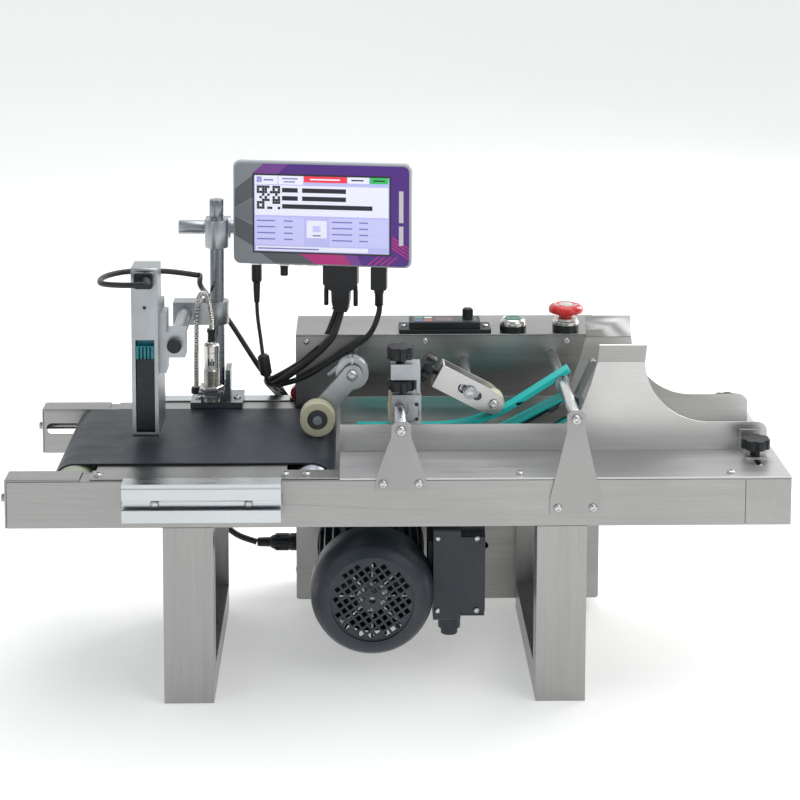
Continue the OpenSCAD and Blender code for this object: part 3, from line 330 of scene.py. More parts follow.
FINISH = {
    steel_x: ("front_rail", "rear_rail", "conveyor_frame", "feed_bed"),
    steel_top_painted_bright: ("table_top",),
    steel_y: ("end_caps", "box_top", "take_up"),
    steel_z: ("legs", "box_body"),
    steel_dark: ("box_panel",),
    steel_guide_painted_bright: ("front_guide", "rear_guide", "pinch_bracket"),
    steel_bracket: ("rod_brackets",),
    aluminium: ("rod_collars", "hold_down_arm", "gate_bracket", "stack_support",
                "head_arm", "head_housing", "controller_arm", "feed_bend_pulley", "feed_top_pulley"),
    aluminium_rail: ("slotted_rails",),
    rod_steel: ("support_rods",),
    mast_steel: ("mast",),
    roller_metal: ("drive_roller", "motor_rotor", "feed_drive_pulley"),
    cream: ("separator",),
    cream_green: ("tail_roller",),
    teal: ("hold_down_strip",),
    teal_grip: ("cartridge_grip",),
    black: ("front_guide_knob", "rear_guide_knob", "pinch_knob", "gate_knob", "gate_lock_knob",
            "timing_belt"),
    black_gloss: ("ink_cartridge",),
    motor_paint: ("motor_body", "fan_cover", "terminal_box"),
    red: ("rocker_switch",),
    board: ("electronics",),
}
EDGE = {"front_rail": 0.9, "end_caps": 0.9, "table_top": 0.6, "box_body": 0.8,
        "box_top": 0.7, "box_panel": 0.4, "slotted_rails": 0.35, "head_housing": 0.7,
        "head_arm": 0.5, "controller_arm": 0.5, "ink_cartridge": 1.2, "terminal_box": 1.6,
        "hold_down_strip": 0.8, "separator": 0.6, "gate_bracket": 0.5, "cartridge_grip": 0.35}
DEFAULT_EDGE = 0.3
UNSOFTENED = ("legs", "rod_brackets")      # a bevel creases their large pierced faces


def soften(obj, width):
    """Rounds the edges by modifiers, so the CAD mesh itself stays as it is."""
    weld = obj.modifiers.new("weld", "WELD")
    weld.merge_threshold = 0.00001
    bevel = obj.modifiers.new("edges", "BEVEL")
    bevel.width = width * MM
    bevel.segments = 2
    bevel.limit_method = "ANGLE"
    bevel.angle_limit = SHARP
    bevel.harden_normals = True
    bevel.miter_outer = "MITER_ARC"


for material, names in FINISH.items():
    for name in names:
        node = NODES[name]
        node.data.materials.clear()
        node.data.materials.append(material)
        if name not in UNSOFTENED:
            soften(node, EDGE.get(name, DEFAULT_EDGE))

# ---- mesh helpers -----------------------------------------------------------------------

ORIGIN = Vector((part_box("end_caps")[1].x - 0.4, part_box("front_rail")[0].y, 0))


def at(x, y, z):
    """A point given in millimetres from the middle of the beams, the front rail's face and the bench."""
    return ORIGIN + Vector((x, y, z)) * MM


def aim(origin, direction, roll=0.0):
    """A matrix that puts local +Z along direction at origin."""
    turn = Vector(direction).to_track_quat("Z", "Y").to_matrix().to_4x4()
    return Matrix.Translation(origin) @ turn @ Matrix.Rotation(roll, 4, "Z")


def finish_mesh(bm, name, materials, body="root", replaces=(), edge=0.0, segments=2):
    """Turns a bmesh into a piece of the object: smooth faces, sharp edges marked, riding on its body."""
    bmesh.ops.recalc_face_normals(bm, faces=bm.faces)
    for face in bm.faces:
        face.smooth = True
    for bm_edge in bm.edges:
        if len(bm_edge.link_faces) == 2 and bm_edge.calc_face_angle(0) > SHARP:
            bm_edge.smooth = False
    mesh = bpy.data.meshes.new(name)
    bm.to_mesh(mesh)
    bm.free()
    for material in materials if isinstance(materials, (list, tuple)) else [materials]:
        mesh.materials.append(material)
    obj = bpy.data.objects.new(name, mesh)
    bpy.context.scene.collection.objects.link(obj)
    if edge:
        bevel = obj.modifiers.new("edges", "BEVEL")
        bevel.width = edge * MM
        bevel.segments = segments
        bevel.limit_method = "ANGLE"
        bevel.angle_limit = SHARP
        bevel.harden_normals = True
    if body:
        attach(obj, body)
    if replaces:
        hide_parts(*replaces)
    return obj


def bridge(bm, a, b, index=0, closed=True):
    count = len(a)
    for i in range(count if closed else count - 1):
        j = (i + 1) % count
        if a[i] is a[j]:
            corners = (a[i], b[i], b[j])
        elif b[i] is b[j]:
            corners = (a[i], a[j], b[i])
        else:
            corners = (a[i], a[j], b[j], b[i])
        bm.faces.new(corners).material_index = index


def hex_radius(radius, angle):
    """Distance from the axis to a hexagon whose corners are at radius."""
    part = (angle % (math.pi / 3)) - math.pi / 6
    return radius * math.cos(math.pi / 6) / math.cos(part)


def lathe(bm, profile, matrix, steps=48, index=0):
    """Revolves (radius, height) points in mm. A third item "hex" makes that ring a hexagon."""
    rings = []
    for radius, height, *shape in profile:
        if radius == 0:
            rings.append([bm.verts.new(matrix @ Vector((0, 0, height * MM)))] * steps)
            continue
        ring = []
        for i in range(steps):
            angle = 2 * math.pi * i / steps
            r = (hex_radius(radius, angle) if shape else radius) * MM
            ring.append(bm.verts.new(matrix @ Vector((r * math.cos(angle), r * math.sin(angle),
                                                      height * MM))))
        rings.append(ring)
    for a, b in zip(rings, rings[1:]):
        bridge(bm, a, b, index)


def closed_lathe(bm, profile, matrix, steps=48, index=0):
    """Revolves a closed outline that stays off the axis, such as a ring or a tyre."""
    rings = []
    for radius, height in profile:
        rings.append([bm.verts.new(matrix @ Vector((radius * MM * math.cos(2 * math.pi * i / steps),
                                                    radius * MM * math.sin(2 * math.pi * i / steps),
                                                    height * MM))) for i in range(steps)])
    for a, b in zip(rings, rings[1:] + rings[:1]):
        bridge(bm, a, b, index)


def prism(bm, outline, low, high, matrix=Matrix(), index=0):
    """Extrudes a flat outline in mm from height low to height high."""
    rings = [[bm.verts.new(matrix @ Vector((x * MM, y * MM, h * MM))) for x, y in outline]
             for h in (low, high)]
    bridge(bm, rings[0], rings[1], index)
    bm.faces.new(rings[0]).material_index = index
    bm.faces.new(rings[1]).material_index = index


def slab(bm, low, high, matrix=Matrix(), index=0):
    """A box between two corners in mm."""
    prism(bm, [(low[0], low[1]), (high[0], low[1]), (high[0], high[1]), (low[0], high[1])],
          low[2], high[2], matrix, index)


def round_rect(x0, y0, x1, y1, radius, steps=6):
    points = []
    for cx, cy, start in ((x1 - radius, y1 - radius, 0), (x0 + radius, y1 - radius, 90),
                          (x0 + radius, y0 + radius, 180), (x1 - radius, y0 + radius, 270)):
        for i in range(steps + 1):
            angle = math.radians(start + 90 * i / steps)
            points.append((cx + radius * math.cos(angle), cy + radius * math.sin(angle)))
    return points


def smooth_path(points, steps):
    """Catmull-Rom curve through the points."""
    path = []
    last = len(points) - 1
    for i in range(last):
        a, b, c, d = (points[max(0, min(last, i + k))] for k in (-1, 0, 1, 2))
        for s in range(steps):
            u = s / steps
            path.append(0.5 * (2 * b + (c - a) * u + (2 * a - 5 * b + 4 * c - d) * u ** 2
                               + (3 * b - a - 3 * c + d) * u ** 3))
    return path + [points[last]]


def tube(bm, points, radius, steps=8, sides=14, index=0):
    """A round cable in mm through points in metres. radius is a number or a function of 0..1."""
    path = smooth_path(points, steps)
    count = len(path)
    tangents = [(path[min(i + 1, count - 1)] - path[max(i - 1, 0)]).normalized() for i in range(count)]
    side = tangents[0].orthogonal().normalized()
    rings = []
    for i, (point, tangent) in enumerate(zip(path, tangents)):
        side = (side - tangent * side.dot(tangent)).normalized()
        other = tangent.cross(side)
        r = (radius(i / (count - 1)) if callable(radius) else radius) * MM
        rings.append([bm.verts.new(point + r * (math.cos(a) * side + math.sin(a) * other))
                      for a in (2 * math.pi * k / sides for k in range(sides))])
    for a, b in zip(rings, rings[1:]):
        bridge(bm, a, b, index)
    bm.faces.new(rings[0]).material_index = index
    bm.faces.new(rings[-1]).material_index = index


# ---- screws and nuts --------------------------------------------------------------------

def islands(node):
    """The separate solids of a CAD node, each as its lowest and highest corner."""
    bm = bmesh.new()
    bm.from_mesh(NODES[node].data)
    bmesh.ops.remove_doubles(bm, verts=bm.verts, dist=0.00001)
    seen, boxes = set(), []
    for start in bm.verts:
        if start in seen:
            continue
        stack, group = [start], []
        seen.add(start)
        while stack:
            vert = stack.pop()
            group.append(vert.co.copy())
            for edge in vert.link_edges:
                other = edge.other_vert(vert)
                if other not in seen:
                    seen.add(other)
                    stack.append(other)
        boxes.append((Vector(min(c[k] for c in group) for k in range(3)),
                      Vector(max(c[k] for c in group) for k in range(3))))
    bm.free()
    return boxes


def button_head(bm, matrix, r, h):
    """Button-head socket screw standing on the matrix's origin, r and h in mm."""
    lathe(bm, [(0, 0), (r, 0), (r, 0.22 * h), (0.95 * r, 0.42 * h), (0.82 * r, 0.68 * h),
               (0.64 * r, 0.88 * h), (0.5 * r, 0.96 * h), (0.48 * r, 0.97 * h, "hex"),
               (0.46 * r, 0.45 * h, "hex"), (0, 0.35 * h)], matrix, 36)


def build_screws():
    bm = bmesh.new()
    box_middle = centre("box_body")
    for low, high in islands("screws"):
        extent = high - low
        axis = min(range(3), key=lambda k: extent[k])
        middle = (low + high) / 2
        outward = [Vector((1 if middle.x > box_middle.x else -1, 0, 0)), -Y, Z][axis]
        across = max(extent) / 2 / MM
        height = extent[axis] / MM
        base = middle - outward * extent[axis] / 2
        if across > 10:
            bore = 9.1 / math.cos(math.pi / 6)
            corner = across - 1.1
            closed_lathe(bm, [(bore, 0.2), (bore + 0.8, 0), (corner, 0), (across - 0.1, 0.9),
                              (across - 0.1, height - 0.9), (corner, height), (bore + 0.8, height),
                              (bore, height - 0.2)], aim(base, outward), 6)
        else:
            button_head(bm, aim(base, outward, middle.x * 90), across, height)
    finish_mesh(bm, "button_head_screws", zinc, replaces=("screws",))


build_screws()

# ---- belts ------------------------------------------------------------------------------

def arc(cx, cz, r, start, end, steps):
    return [(cx + r * math.cos(a), cz + r * math.sin(a))
            for a in (math.radians(start + (end - start) * i / steps) for i in range(steps + 1))]


def run_between(a, b, steps):
    """Points strictly between a and b, so that a straight run can ripple."""
    return [(a[0] + (b[0] - a[0]) * i / steps, a[1] + (b[1] - a[1]) * i / steps)
            for i in range(1, steps)]


def belt_piece(name, path, y0, y1, thickness, material, replaces, ripple=None, across=12, rim=0.5):
    """A closed flat belt that follows path, the (x, z) points of its inner face, anticlockwise."""
    bm = bmesh.new()
    count = len(path)
    section = [(0.0, y0 + rim * MM), (thickness * 0.5, y0), (thickness - rim * 0.3 * MM, y0 + 0.1 * rim * MM)]
    section += [(thickness, y0 + rim * MM + (y1 - y0 - 2 * rim * MM) * i / across) for i in range(across + 1)]
    section += [(thickness - rim * 0.3 * MM, y1 - 0.1 * rim * MM), (thickness * 0.5, y1), (0.0, y1 - rim * MM)]
    rings = []
    for i, (x, z) in enumerate(path):
        px, pz = path[i - 1]
        nx, nz = path[(i + 1) % count]
        along = Vector((nx - px, 0, nz - pz)).normalized()
        normal = Vector((along.z, 0, -along.x))
        ring = []
        for offset, y in section:
            lift = ripple(x, y, z) if ripple and offset >= thickness * 0.99 else 0.0
            ring.append(bm.verts.new(Vector((x, y, z)) + normal * (offset + lift)))
        rings.append(ring)
    for a, b in zip(rings, rings[1:] + rings[:1]):
        bridge(bm, a, b)
    return finish_mesh(bm, name, material, replaces=replaces)


def conveyor():
    tail, drive = pivot("tail_roller_spin"), pivot("drive_roller_spin")
    low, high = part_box("conveyor_belt")
    outer = (high.z - low.z) / 2
    inner = outer - 1.95 * MM
    bottom = [(drive.x, drive.z - inner), (tail.x, tail.z - inner)]
    path = arc(tail.x, tail.z, inner, 270, 90, 28)
    path += run_between(path[-1], (drive.x, drive.z + inner), 90)
    path += arc(drive.x, drive.z, inner, 90, -90, 28)
    path += run_between(path[-1], bottom[1], 40)
    path.reverse()

    def ripple(x, y, z):
        """Slight lengthwise waves where the belt meets the tail roller, dying out downstream."""
        if z < drive.z:
            return 0.0
        near_tail = math.exp(-abs(x - tail.x) / 0.05)
        wave = noise.noise(Vector((x * 9, y * 90, 0.3)))
        swell = noise.noise(Vector((x * 14, y * 11, 2.0)))
        return -MM * (0.28 * near_tail * (0.5 + wave) + 0.10 * (0.5 + swell))

    belt_piece("conveyor_belt_cover", path, low.y, high.y, outer - inner, belt_rubber,
               ("conveyor_belt",), ripple, 60)
    # the vulcanised joint across the belt
    bm = bmesh.new()
    joint_x = tail.x + 0.37 * (drive.x - tail.x)
    slope = 0.03
    top = high.z
    outline = [(joint_x, low.y + 0.001), (joint_x + 0.0011, low.y + 0.001),
               (joint_x + slope + 0.0011, high.y - 0.001), (joint_x + slope, high.y - 0.001)]
    prism(bm, [(x / MM, y / MM) for x, y in outline], top / MM - 0.4, top / MM - 0.02)
    finish_mesh(bm, "belt_joint", belt_rubber)


def feeder_belt():
    drive, bend, top = (pivot(f"feed_{n}_spin") for n in ("drive", "bend", "top"))
    low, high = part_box("feed_belt")
    gap = 0.3 * MM
    big = size("feed_bend_pulley").x / 2 + gap
    small = size("feed_top_pulley").x / 2 + gap
    thickness = (drive.z - low.z) - big
    dx, dz = top.x - bend.x, top.z - bend.z
    lean = math.asin((big - small) / math.hypot(dx, dz))
    middle = math.atan2(dz, dx)
    rise, fall = math.degrees(middle - lean), math.degrees(middle + lean)
    half = math.tan(math.radians(rise) / 2)
    corner_x = bend.x - big * half
    fillet = 0.06
    level = bend.z + big
    path = [(drive.x, level)]
    path += run_between(path[-1], (corner_x - fillet * half, level), 24)
    path += arc(corner_x - fillet * half, level + fillet, fillet, 270, 270 + rise, 12)
    tangent = (top.x + small * math.cos(math.radians(rise + 90)),
               top.z + small * math.sin(math.radians(rise + 90)))
    path += run_between(path[-1], tangent, 14)
    path += arc(top.x, top.z, small, rise + 90, fall - 90, 26)
    path += run_between(path[-1], (bend.x + big * math.cos(math.radians(fall - 90)),
                                   bend.z + big * math.sin(math.radians(fall - 90))), 14)
    path += arc(bend.x, bend.z, big, fall - 90, -90, 8)
    path += run_between(path[-1], (drive.x, drive.z - big), 24)
    path += arc(drive.x, drive.z, big, -90, -270, 30)[:-1]
    path.reverse()
    belt_piece("feed_belt_cover", path, low.y, high.y, thickness, teal, ("feed_belt",),
               None, 8, 1.0)


conveyor()
feeder_belt()

# ---- rollers ----------------------------------------------------------------------------

def roller(name, node, joint, body, material, hub_share, recess):
    """A urethane tyre on a hub, about an axle along Y."""
    low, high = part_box(node)
    axle = pivot(joint)
    r = (high.x - low.x) / 2 / MM
    w = (high.y - low.y) / MM
    hub = r * hub_share
    place = aim(Vector((axle.x, low.y, axle.z)), Y)
    bm = bmesh.new()
    closed_lathe(bm, [(hub, 0.6), (hub + 0.5, 0.15), (r - 1.6, 0), (r - 0.5, 0.4), (r - 0.05, 1.3),
                      (r, w * 0.5), (r - 0.05, w - 1.3), (r - 0.5, w - 0.4), (r - 1.6, w),
                      (hub + 0.5, w - 0.15), (hub, w - 0.6)], place, 72)
    tyre = finish_mesh(bm, name + "_tyre", material, body, (node,))
    bm = bmesh.new()
    closed_lathe(bm, [(5.1, recess), (hub - 1.4, recess), (hub - 0.9, recess - 0.6), (hub - 0.05, recess - 0.6),
                      (hub - 0.05, w - 1), (5.1, w - 1)], place, 60)
    finish_mesh(bm, name + "_hub", grey_plastic, body, edge=0.25)
    return tyre


roller("hold_down", "hold_down_roller", "hold_down_roller_spin", "hold_down_roller", cream,
       0.58, 2.2)

def simple_roller(node, joint, body):
    low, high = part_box(node)
    axle = pivot(joint)
    r = (high.x - low.x) / 2 / MM
    w = (high.y - low.y) / MM
    bm = bmesh.new()
    place = aim(Vector((axle.x, low.y, axle.z)), Y)
    closed_lathe(bm, [(4.05, 0), (r - 1.2, 0), (r - 0.3, 0.4), (r, 1.4), (r, w - 1.4), (r - 0.3, w - 0.4),
                      (r - 1.2, w), (4.05, w)], place, 64)
    finish_mesh(bm, "pinch_roller_tyre", cream, body, (node,))


simple_roller("pinch_roller", "pinch_roller_spin", "pinch_roller")

# ---- push buttons and speed control -----------------------------------------------------

def ring(bm, r_in, r_out, low, high, place, index=0, edge=0.5):
    closed_lathe(bm, [(r_in, low), (r_out - edge, low), (r_out, low + edge), (r_out, high - edge),
                      (r_out - edge, high), (r_in + edge * 0.6, high), (r_in, high - edge * 0.6)],
                 place, 72, index)


def build_buttons():
    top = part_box("box_top")[1].z
    start = centre("start_cap")
    stop = centre("estop_head")
    start_place = Matrix.Translation((start.x, start.y, top))
    stop_place = Matrix.Translation((stop.x, stop.y, top))
    bm = bmesh.new()
    ring(bm, 10.3, 14.7, 0, 7.5, start_place)
    for i in range(36):
        turn = start_place @ Matrix.Rotation(2 * math.pi * i / 36, 4, "Z")
        slab(bm, (14.4, -0.45, 0.8), (15.0, 0.45, 6.6), turn)
    ring(bm, 10.2, 11, -30, 0.2, start_place)
    ring(bm, 8.1, 15, 0, 8.5, stop_place)
    ring(bm, 8.1, 11, -34, 0.2, stop_place)
    finish_mesh(bm, "button_bodies", black, replaces=("button_collars",))
    bm = bmesh.new()
    closed_lathe(bm, [(10.3, 7.4), (14.4, 7.4), (14.7, 8.4), (14.6, 11), (13.6, 13.4), (12.0, 14.6),
                      (10.9, 14.8), (10.4, 14.2)], start_place, 72)
    closed_lathe(bm, [(8.1, 8.4), (14.6, 8.4), (15, 9.2), (15, 11.5), (14.2, 12.6), (13, 13), (12.6, 15.6),
                      (8.1, 16)], stop_place, 72)
    finish_mesh(bm, "button_bezels", nickel)
    bm = bmesh.new()
    low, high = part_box("start_cap")
    base = (low.z - top) / MM
    crown = (high.z - top) / MM
    lathe(bm, [(0, base), (9.9, base), (10, base + 0.4), (10, crown - 1.0), (9.6, crown - 0.3),
               (8.8, crown), (7.8, crown - 0.25), (6.0, crown - 0.7), (3.0, crown - 1.0), (0, crown - 1.1)],
          start_place, 64)
    finish_mesh(bm, "start_button_cap", green, "start_cap", ("start_cap",))
    bm = bmesh.new()
    low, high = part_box("estop_head")
    crown = (high.z - top) / MM
    lathe(bm, [(0, -4), (7.95, -4), (7.95, 20), (12, 21), (17.2, 21.4), (19.1, 22.2), (19.9, 23.6), (20, 25.2),
               (19.5, 27.2), (18.2, 29), (15.8, 30.4), (12.5, 31.1), (9.2, 31.0), (8.6, 30.7), (0, crown - 1.1)],
          stop_place, 80)
    finish_mesh(bm, "emergency_stop_head", red, "estop_head", ("estop_head",))
    bm = bmesh.new()
    lathe(bm, [(0, 30.3), (8.3, 30.3), (8.3, 31.0), (7.6, 31.4), (0, 31.7)], stop_place, 56)
    finish_mesh(bm, "emergency_stop_disc", white_print, "estop_head")
    bm = bmesh.new()
    for start_angle in (20, 140, 260):
        inner, outer, height = 11.2, 13.2, 31.25
        for i in range(8):
            a, b = (math.radians(start_angle + 70 * k / 8) for k in (i, i + 1))
            outline = [(r * math.cos(t), r * math.sin(t)) for r, t in
                       ((inner, a), (outer, a), (outer, b), (inner, b))]
            prism(bm, outline, height - 0.6, height + 0.05, stop_place)
        tip = math.radians(start_angle + 86)
        foot = math.radians(start_angle + 70)
        prism(bm, [(9.9 * math.cos(foot), 9.9 * math.sin(foot)), (14.5 * math.cos(foot), 14.5 * math.sin(foot)),
                   (12.2 * math.cos(tip), 12.2 * math.sin(tip))], height - 0.6, height + 0.05, stop_place)
    finish_mesh(bm, "emergency_stop_arrows", white_print, "estop_head")


def build_speed_controller():
    low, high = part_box("speed_controller")
    top = low.z
    place = Matrix.Translation((low.x, low.y, top))
    w, d, h = ((high - low) / MM)
    knob = pivot("speed_knob_turn")
    kx, ky = (knob.x - low.x) / MM, (knob.y - low.y) / MM
    bm = bmesh.new()
    prism(bm, round_rect(0, 0, w, d, 3), 0, 4.6, place)
    prism(bm, round_rect(12, 2, w - 12, d - 2, 2.5), 4.6, h - 0.6, place)
    finish_mesh(bm, "speed_controller_case", black, replaces=("speed_controller",),
                edge=0.8, segments=3)
    bm = bmesh.new()
    prism(bm, round_rect(15, 4.5, w - 15, d - 4.5, 1.5), h - 0.7, h - 0.15, place)
    finish_mesh(bm, "speed_controller_label", grey_plastic, edge=0.1)
    bm = bmesh.new()
    for x, width, index in ((18, 9, 0), (29, 9, 1), (18, 9, 2), (29, 9, 3)):
        y = 8 if index < 2 else 20
        prism(bm, round_rect(x, y, x + width, y + 6, 1.2), h - 0.2, h + 0.05 - 0.02, place, index)
    prism(bm, round_rect(42, 9, 62, 24, 1.5), h - 0.2, h - 0.05, place, 4)
    for i in range(11):
        turn = place @ Matrix.Translation((kx * MM, ky * MM, 0)) @ Matrix.Rotation(
            math.radians(-135 + 27 * i), 4, "Z")
        slab(bm, (-0.3, 8.2, h - 0.2), (0.3, 10.4, h - 0.02), turn, 3)
    finish_mesh(bm, "speed_controller_marks",
                [printed("mark_blue", (0.02, 0.10, 0.5)), printed("mark_red", (0.5, 0.03, 0.02)),
                 printed("mark_green", (0.02, 0.3, 0.10)), printed("mark_white", (0.6, 0.6, 0.58)),
                 lit("speed_window", (0.08, 0.02, 0.02), 0.2)])
    bm = bmesh.new()
    for x in (6, w - 6):
        button_head(bm, Matrix.Translation((low.x + x * MM, knob.y, top + 4.6 * MM)), 3.4, 2.0)
    finish_mesh(bm, "speed_controller_screws", zinc)
    bm = bmesh.new()
    k_low, k_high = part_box("speed_knob")
    base, crown = (k_low.z - top) / MM, (k_high.z - top) / MM
    knob_place = Matrix.Translation((knob.x, knob.y, top))
    lathe(bm, [(0, base), (2.95, base), (2.95, h + 0.4), (6.3, h + 0.4), (6.3, h + 1.4), (5.9, h + 2.2),
               (5.5, crown - 1.0), (5.0, crown - 0.3), (0, crown)], knob_place, 48)
    for i in range(18):
        slab(bm, (5.3, -0.28, h + 2.0), (6.15, 0.28, crown - 1.6),
             knob_place @ Matrix.Rotation(2 * math.pi * i / 18, 4, "Z"))
    finish_mesh(bm, "speed_knob_cap", black, "speed_knob", ("speed_knob",))
    bm = bmesh.new()
    slab(bm, (-0.35, 1.0, crown - 0.4), (0.35, 4.9, crown - 0.05), knob_place)
    finish_mesh(bm, "speed_knob_pointer", white_print, "speed_knob")


build_buttons()
build_speed_controller()


# ---- controller -------------------------------------------------------------------------

YAW = -8.5


def build_controller():
    place = Matrix.Translation(at(-82.5, 240, 460.5)) @ Matrix.Rotation(math.radians(YAW), 4, "Z")
    upright = place @ Matrix.Rotation(math.radians(90), 4, "X")     # outline in x, z; height runs to -Y
    half_w, half_h = 102, 59.5
    body = "controller"
    bm = bmesh.new()
    lathe_rings = [(3.4, -12), (0.8, -11.2), (0, -9.4), (0, -4.6), (0.6, -3.2), (2.0, -2.4), (3.2, -2.2)]
    rings = []
    for inset, height in lathe_rings:
        outline = round_rect(-half_w + inset, -half_h + inset, half_w - inset, half_h - inset, 8 - inset, 8)
        rings.append([bm.verts.new(upright @ (Vector((x, z, height)) * MM)) for x, z in outline])
    for a, b in zip(rings, rings[1:]):
        bridge(bm, a, b)
    bm.faces.new(rings[0])
    bm.faces.new(rings[-1])
    prism(bm, round_rect(-72, -50, 72, 53, 4), -23.9, -11.8, upright)
    for i in range(9):
        slab(bm, (-60 + i * 12, -38, -24.5), (-55 + i * 12, 38, -23.5), upright)
    finish_mesh(bm, "controller_case", shell_paint, body,
                ("controller_shell", "controller_front"), edge=0.4)

    def layer(name, shapes, base, top, materials, edge=0.0):
        bm = bmesh.new()
        for index, outline in shapes:
            prism(bm, outline, base, top, upright, index)
        return finish_mesh(bm, name, materials, body, edge=edge)

    inset = 2.6
    x0, x1, z0, z1 = -half_w + inset, half_w - inset, -half_h + inset, half_h - inset
    layer("controller_face", [(0, round_rect(x0, z0, x1, z1, 6))], -3, -0.35,
          [printed("face_film_grey", (0.26, 0.28, 0.30), roughness=0.35)])
    flat = [printed("face_art_dark", (0.105, 0.115, 0.125)), printed("face_art_light", (0.19, 0.205, 0.22)),
            printed("face_art_purple", (0.085, 0.012, 0.26)), printed("face_art_magenta", (0.60, 0.012, 0.24)),
            printed("face_art_violet", (0.21, 0.045, 0.33)), printed("face_art_pink", (0.56, 0.02, 0.22))]
    sx0, sx1, sz0, sz1 = -79, 79, -45.5, 45.5
    pieces = [(0, [(x0, 27), (sx0, 43), (sx0, 18), (x0, 6)]), (1, [(x0, 5), (sx0, 17), (sx0, -12), (x0, -3)]),
              (0, [(x0, -4), (sx0, -14), (sx0 + 2, -39), (x0, -26)]),
              (0, [(-70, sz0), (-26, sz0), (-7, z0), (-54, z0)]),
              (4, [(-66, z1), (-38, z1), (-50, sz1), (-79, sz1)]),
              (2, [(-38, z1), (x1 - 6, z1), (x1 - 1.8, z1 - 1.8), (x1, z1 - 6), (x1, sz1), (-50, sz1)]),
              (2, [(sx1, sz1), (x1, sz1), (x1, z0 + 6), (x1 - 1.8, z0 + 1.8), (x1 - 6, z0), (sx1, z0)]),
              (3, [(-26, sz0), (12, sz0), (20, z0), (-7, z0)]), (5, [(12, sz0), (26, sz0), (34, z0), (20, z0)]),
              (4, [(26, sz0), (40, sz0), (46, z0), (34, z0)]), (2, [(40, sz0), (sx1, sz0), (sx1, z0), (46, z0)])]
    layer("controller_face_art", pieces, -0.36, -0.22, flat)
    stripes = [(0, [(x1, z0 + 8 + 4 * i), (sx1 + 1, z0 + 20 + 4 * i), (sx1 + 1, z0 + 22.2 + 4 * i), (x1, z0 + 9.4 + 4 * i)])
               for i in range(4)]
    stripes += [(0, [(52 + 7 * i, z0 + 1), (54.6 + 7 * i, z0 + 1), (66 + 7 * i, sz0 - 0.5), (64.6 + 7 * i, sz0 - 0.5)])
                for i in range(4)]
    layer("controller_face_stripes", stripes, -0.24, -0.16, flat[3:])
    layer("controller_side_bar", [(0, [(88, z), (93, z), (93, z + length), (88, z + length)])
                                        for z, length in ((-33, 22), (-7, 36))],
          -0.24, -0.14, [printed("face_white", (0.7, 0.68, 0.7))])

    screen = [lit("screen_ground", (0.50, 0.50, 0.86), 0.36), lit("screen_white", (0.80, 0.80, 0.92), 0.40),
              lit("screen_red", (0.70, 0.03, 0.06), 0.6), lit("screen_green", (0.03, 0.42, 0.10), 0.55),
              lit("screen_ink", (0.015, 0.013, 0.03), 0.1), lit("screen_panel", (0.56, 0.56, 0.90), 0.38),
              lit("screen_blue", (0.16, 0.16, 0.42), 0.5), printed("screen_border", (0.010, 0.010, 0.012))]

    def bar(index, ax, az, bx, bz):
        return index, [(ax, az), (bx, az), (bx, bz), (ax, bz)]

    layer("screen_glass", [bar(7, sx0, sz0, sx1, sz1)], -0.36, -0.16, screen)
    gx0, gx1, gz0, gz1 = sx0 + 2, sx1 - 2, sz0 + 2, sz1 - 2
    layer("screen_picture", [bar(0, gx0, gz0, gx1, gz1)], -0.17, -0.10, screen)
    parts = [bar(1, gx0 + 1, 33.5, gx0 + 27, 43.5), bar(6, gx0 + 3, 35.5, gx0 + 9, 42), bar(1, gx0 + 28, 33.5, gx0 + 56, 43.5),
             bar(2, gx0 + 57, 36.5, gx0 + 106, 43.5), bar(1, gx0 + 107, 36.5, gx0 + 131, 43.5), bar(3, gx0 + 132, 36.5, gx1 - 1, 43.5),
             bar(1, gx0 + 1, -2, gx1 - 1, 32.5),
             bar(5, gx0 + 1, -36, gx0 + 57, -4), bar(5, gx0 + 86, -36, gx1 - 1, -4), bar(1, gx0 + 60, -27, gx0 + 83, -7),
             bar(1, gx0 + 2, gz0 + 1, gx1 - 24, gz0 + 6)]
    layer("screen_fields", parts, -0.11, -0.06, screen)
    marks = []
    cell = 3
    for i in range(9):
        for j in range(9):
            corner = (i < 3 or i > 5) and (j < 3 or j > 5) and not (i > 5 and j < 3)
            on = (i % 3 != 1 or j % 3 != 1) if corner else noise.noise(Vector((i * 1.7, j * 2.3, 5))) > 0
            if on:
                marks.append(bar(4, gx0 + 3 + i * cell, 5 + j * cell, gx0 + 3 + (i + 0.96) * cell, 5 + (j + 0.96) * cell))
    for z, spans in ((24.5, ((32, 18), (55, 50))), (15.2, ((32, 18), (55, 50))), (5.9, ((32, 103),))):
        marks += [bar(4, gx0 + start, z, gx0 + start + length, z + 5.2) for start, length in spans]
    for z in (-9, -16, -23, -30):
        marks.append(bar(6, gx0 + 3, z, gx0 + 24, z + 1.5))
        marks.append(bar(6, gx0 + 34, z, gx0 + 44, z + 1.5))
        marks.append(bar(6, gx0 + 89, z, gx0 + 112, z + 1.5))
        marks.append(bar(6, gx0 + 120, z, gx0 + 130, z + 1.5))
    marks += [bar(6, gx0 + 4, gz0 + 2.6, gx0 + 74, gz0 + 4.2), bar(6, gx0 + 11, 37.6, gx0 + 22, 39.4),
              bar(6, gx0 + 32, 39.5, gx0 + 50, 41), bar(6, gx0 + 34, 36, gx0 + 47, 37.4),
              bar(1, gx0 + 64, 39.2, gx0 + 98, 40.8), bar(4, gx0 + 111, 39.2, gx0 + 125, 40.8),
              bar(4, gx0 + 136, 39.2, gx1 - 5, 40.8), bar(5, gx0 + 67, -20, gx0 + 76, -13), bar(6, gx0 + 67, -25, gx0 + 76, -23.4)]
    layer("screen_marks", marks, -0.07, -0.02, screen)

    # connectors along the bottom edge
    bm = bmesh.new()

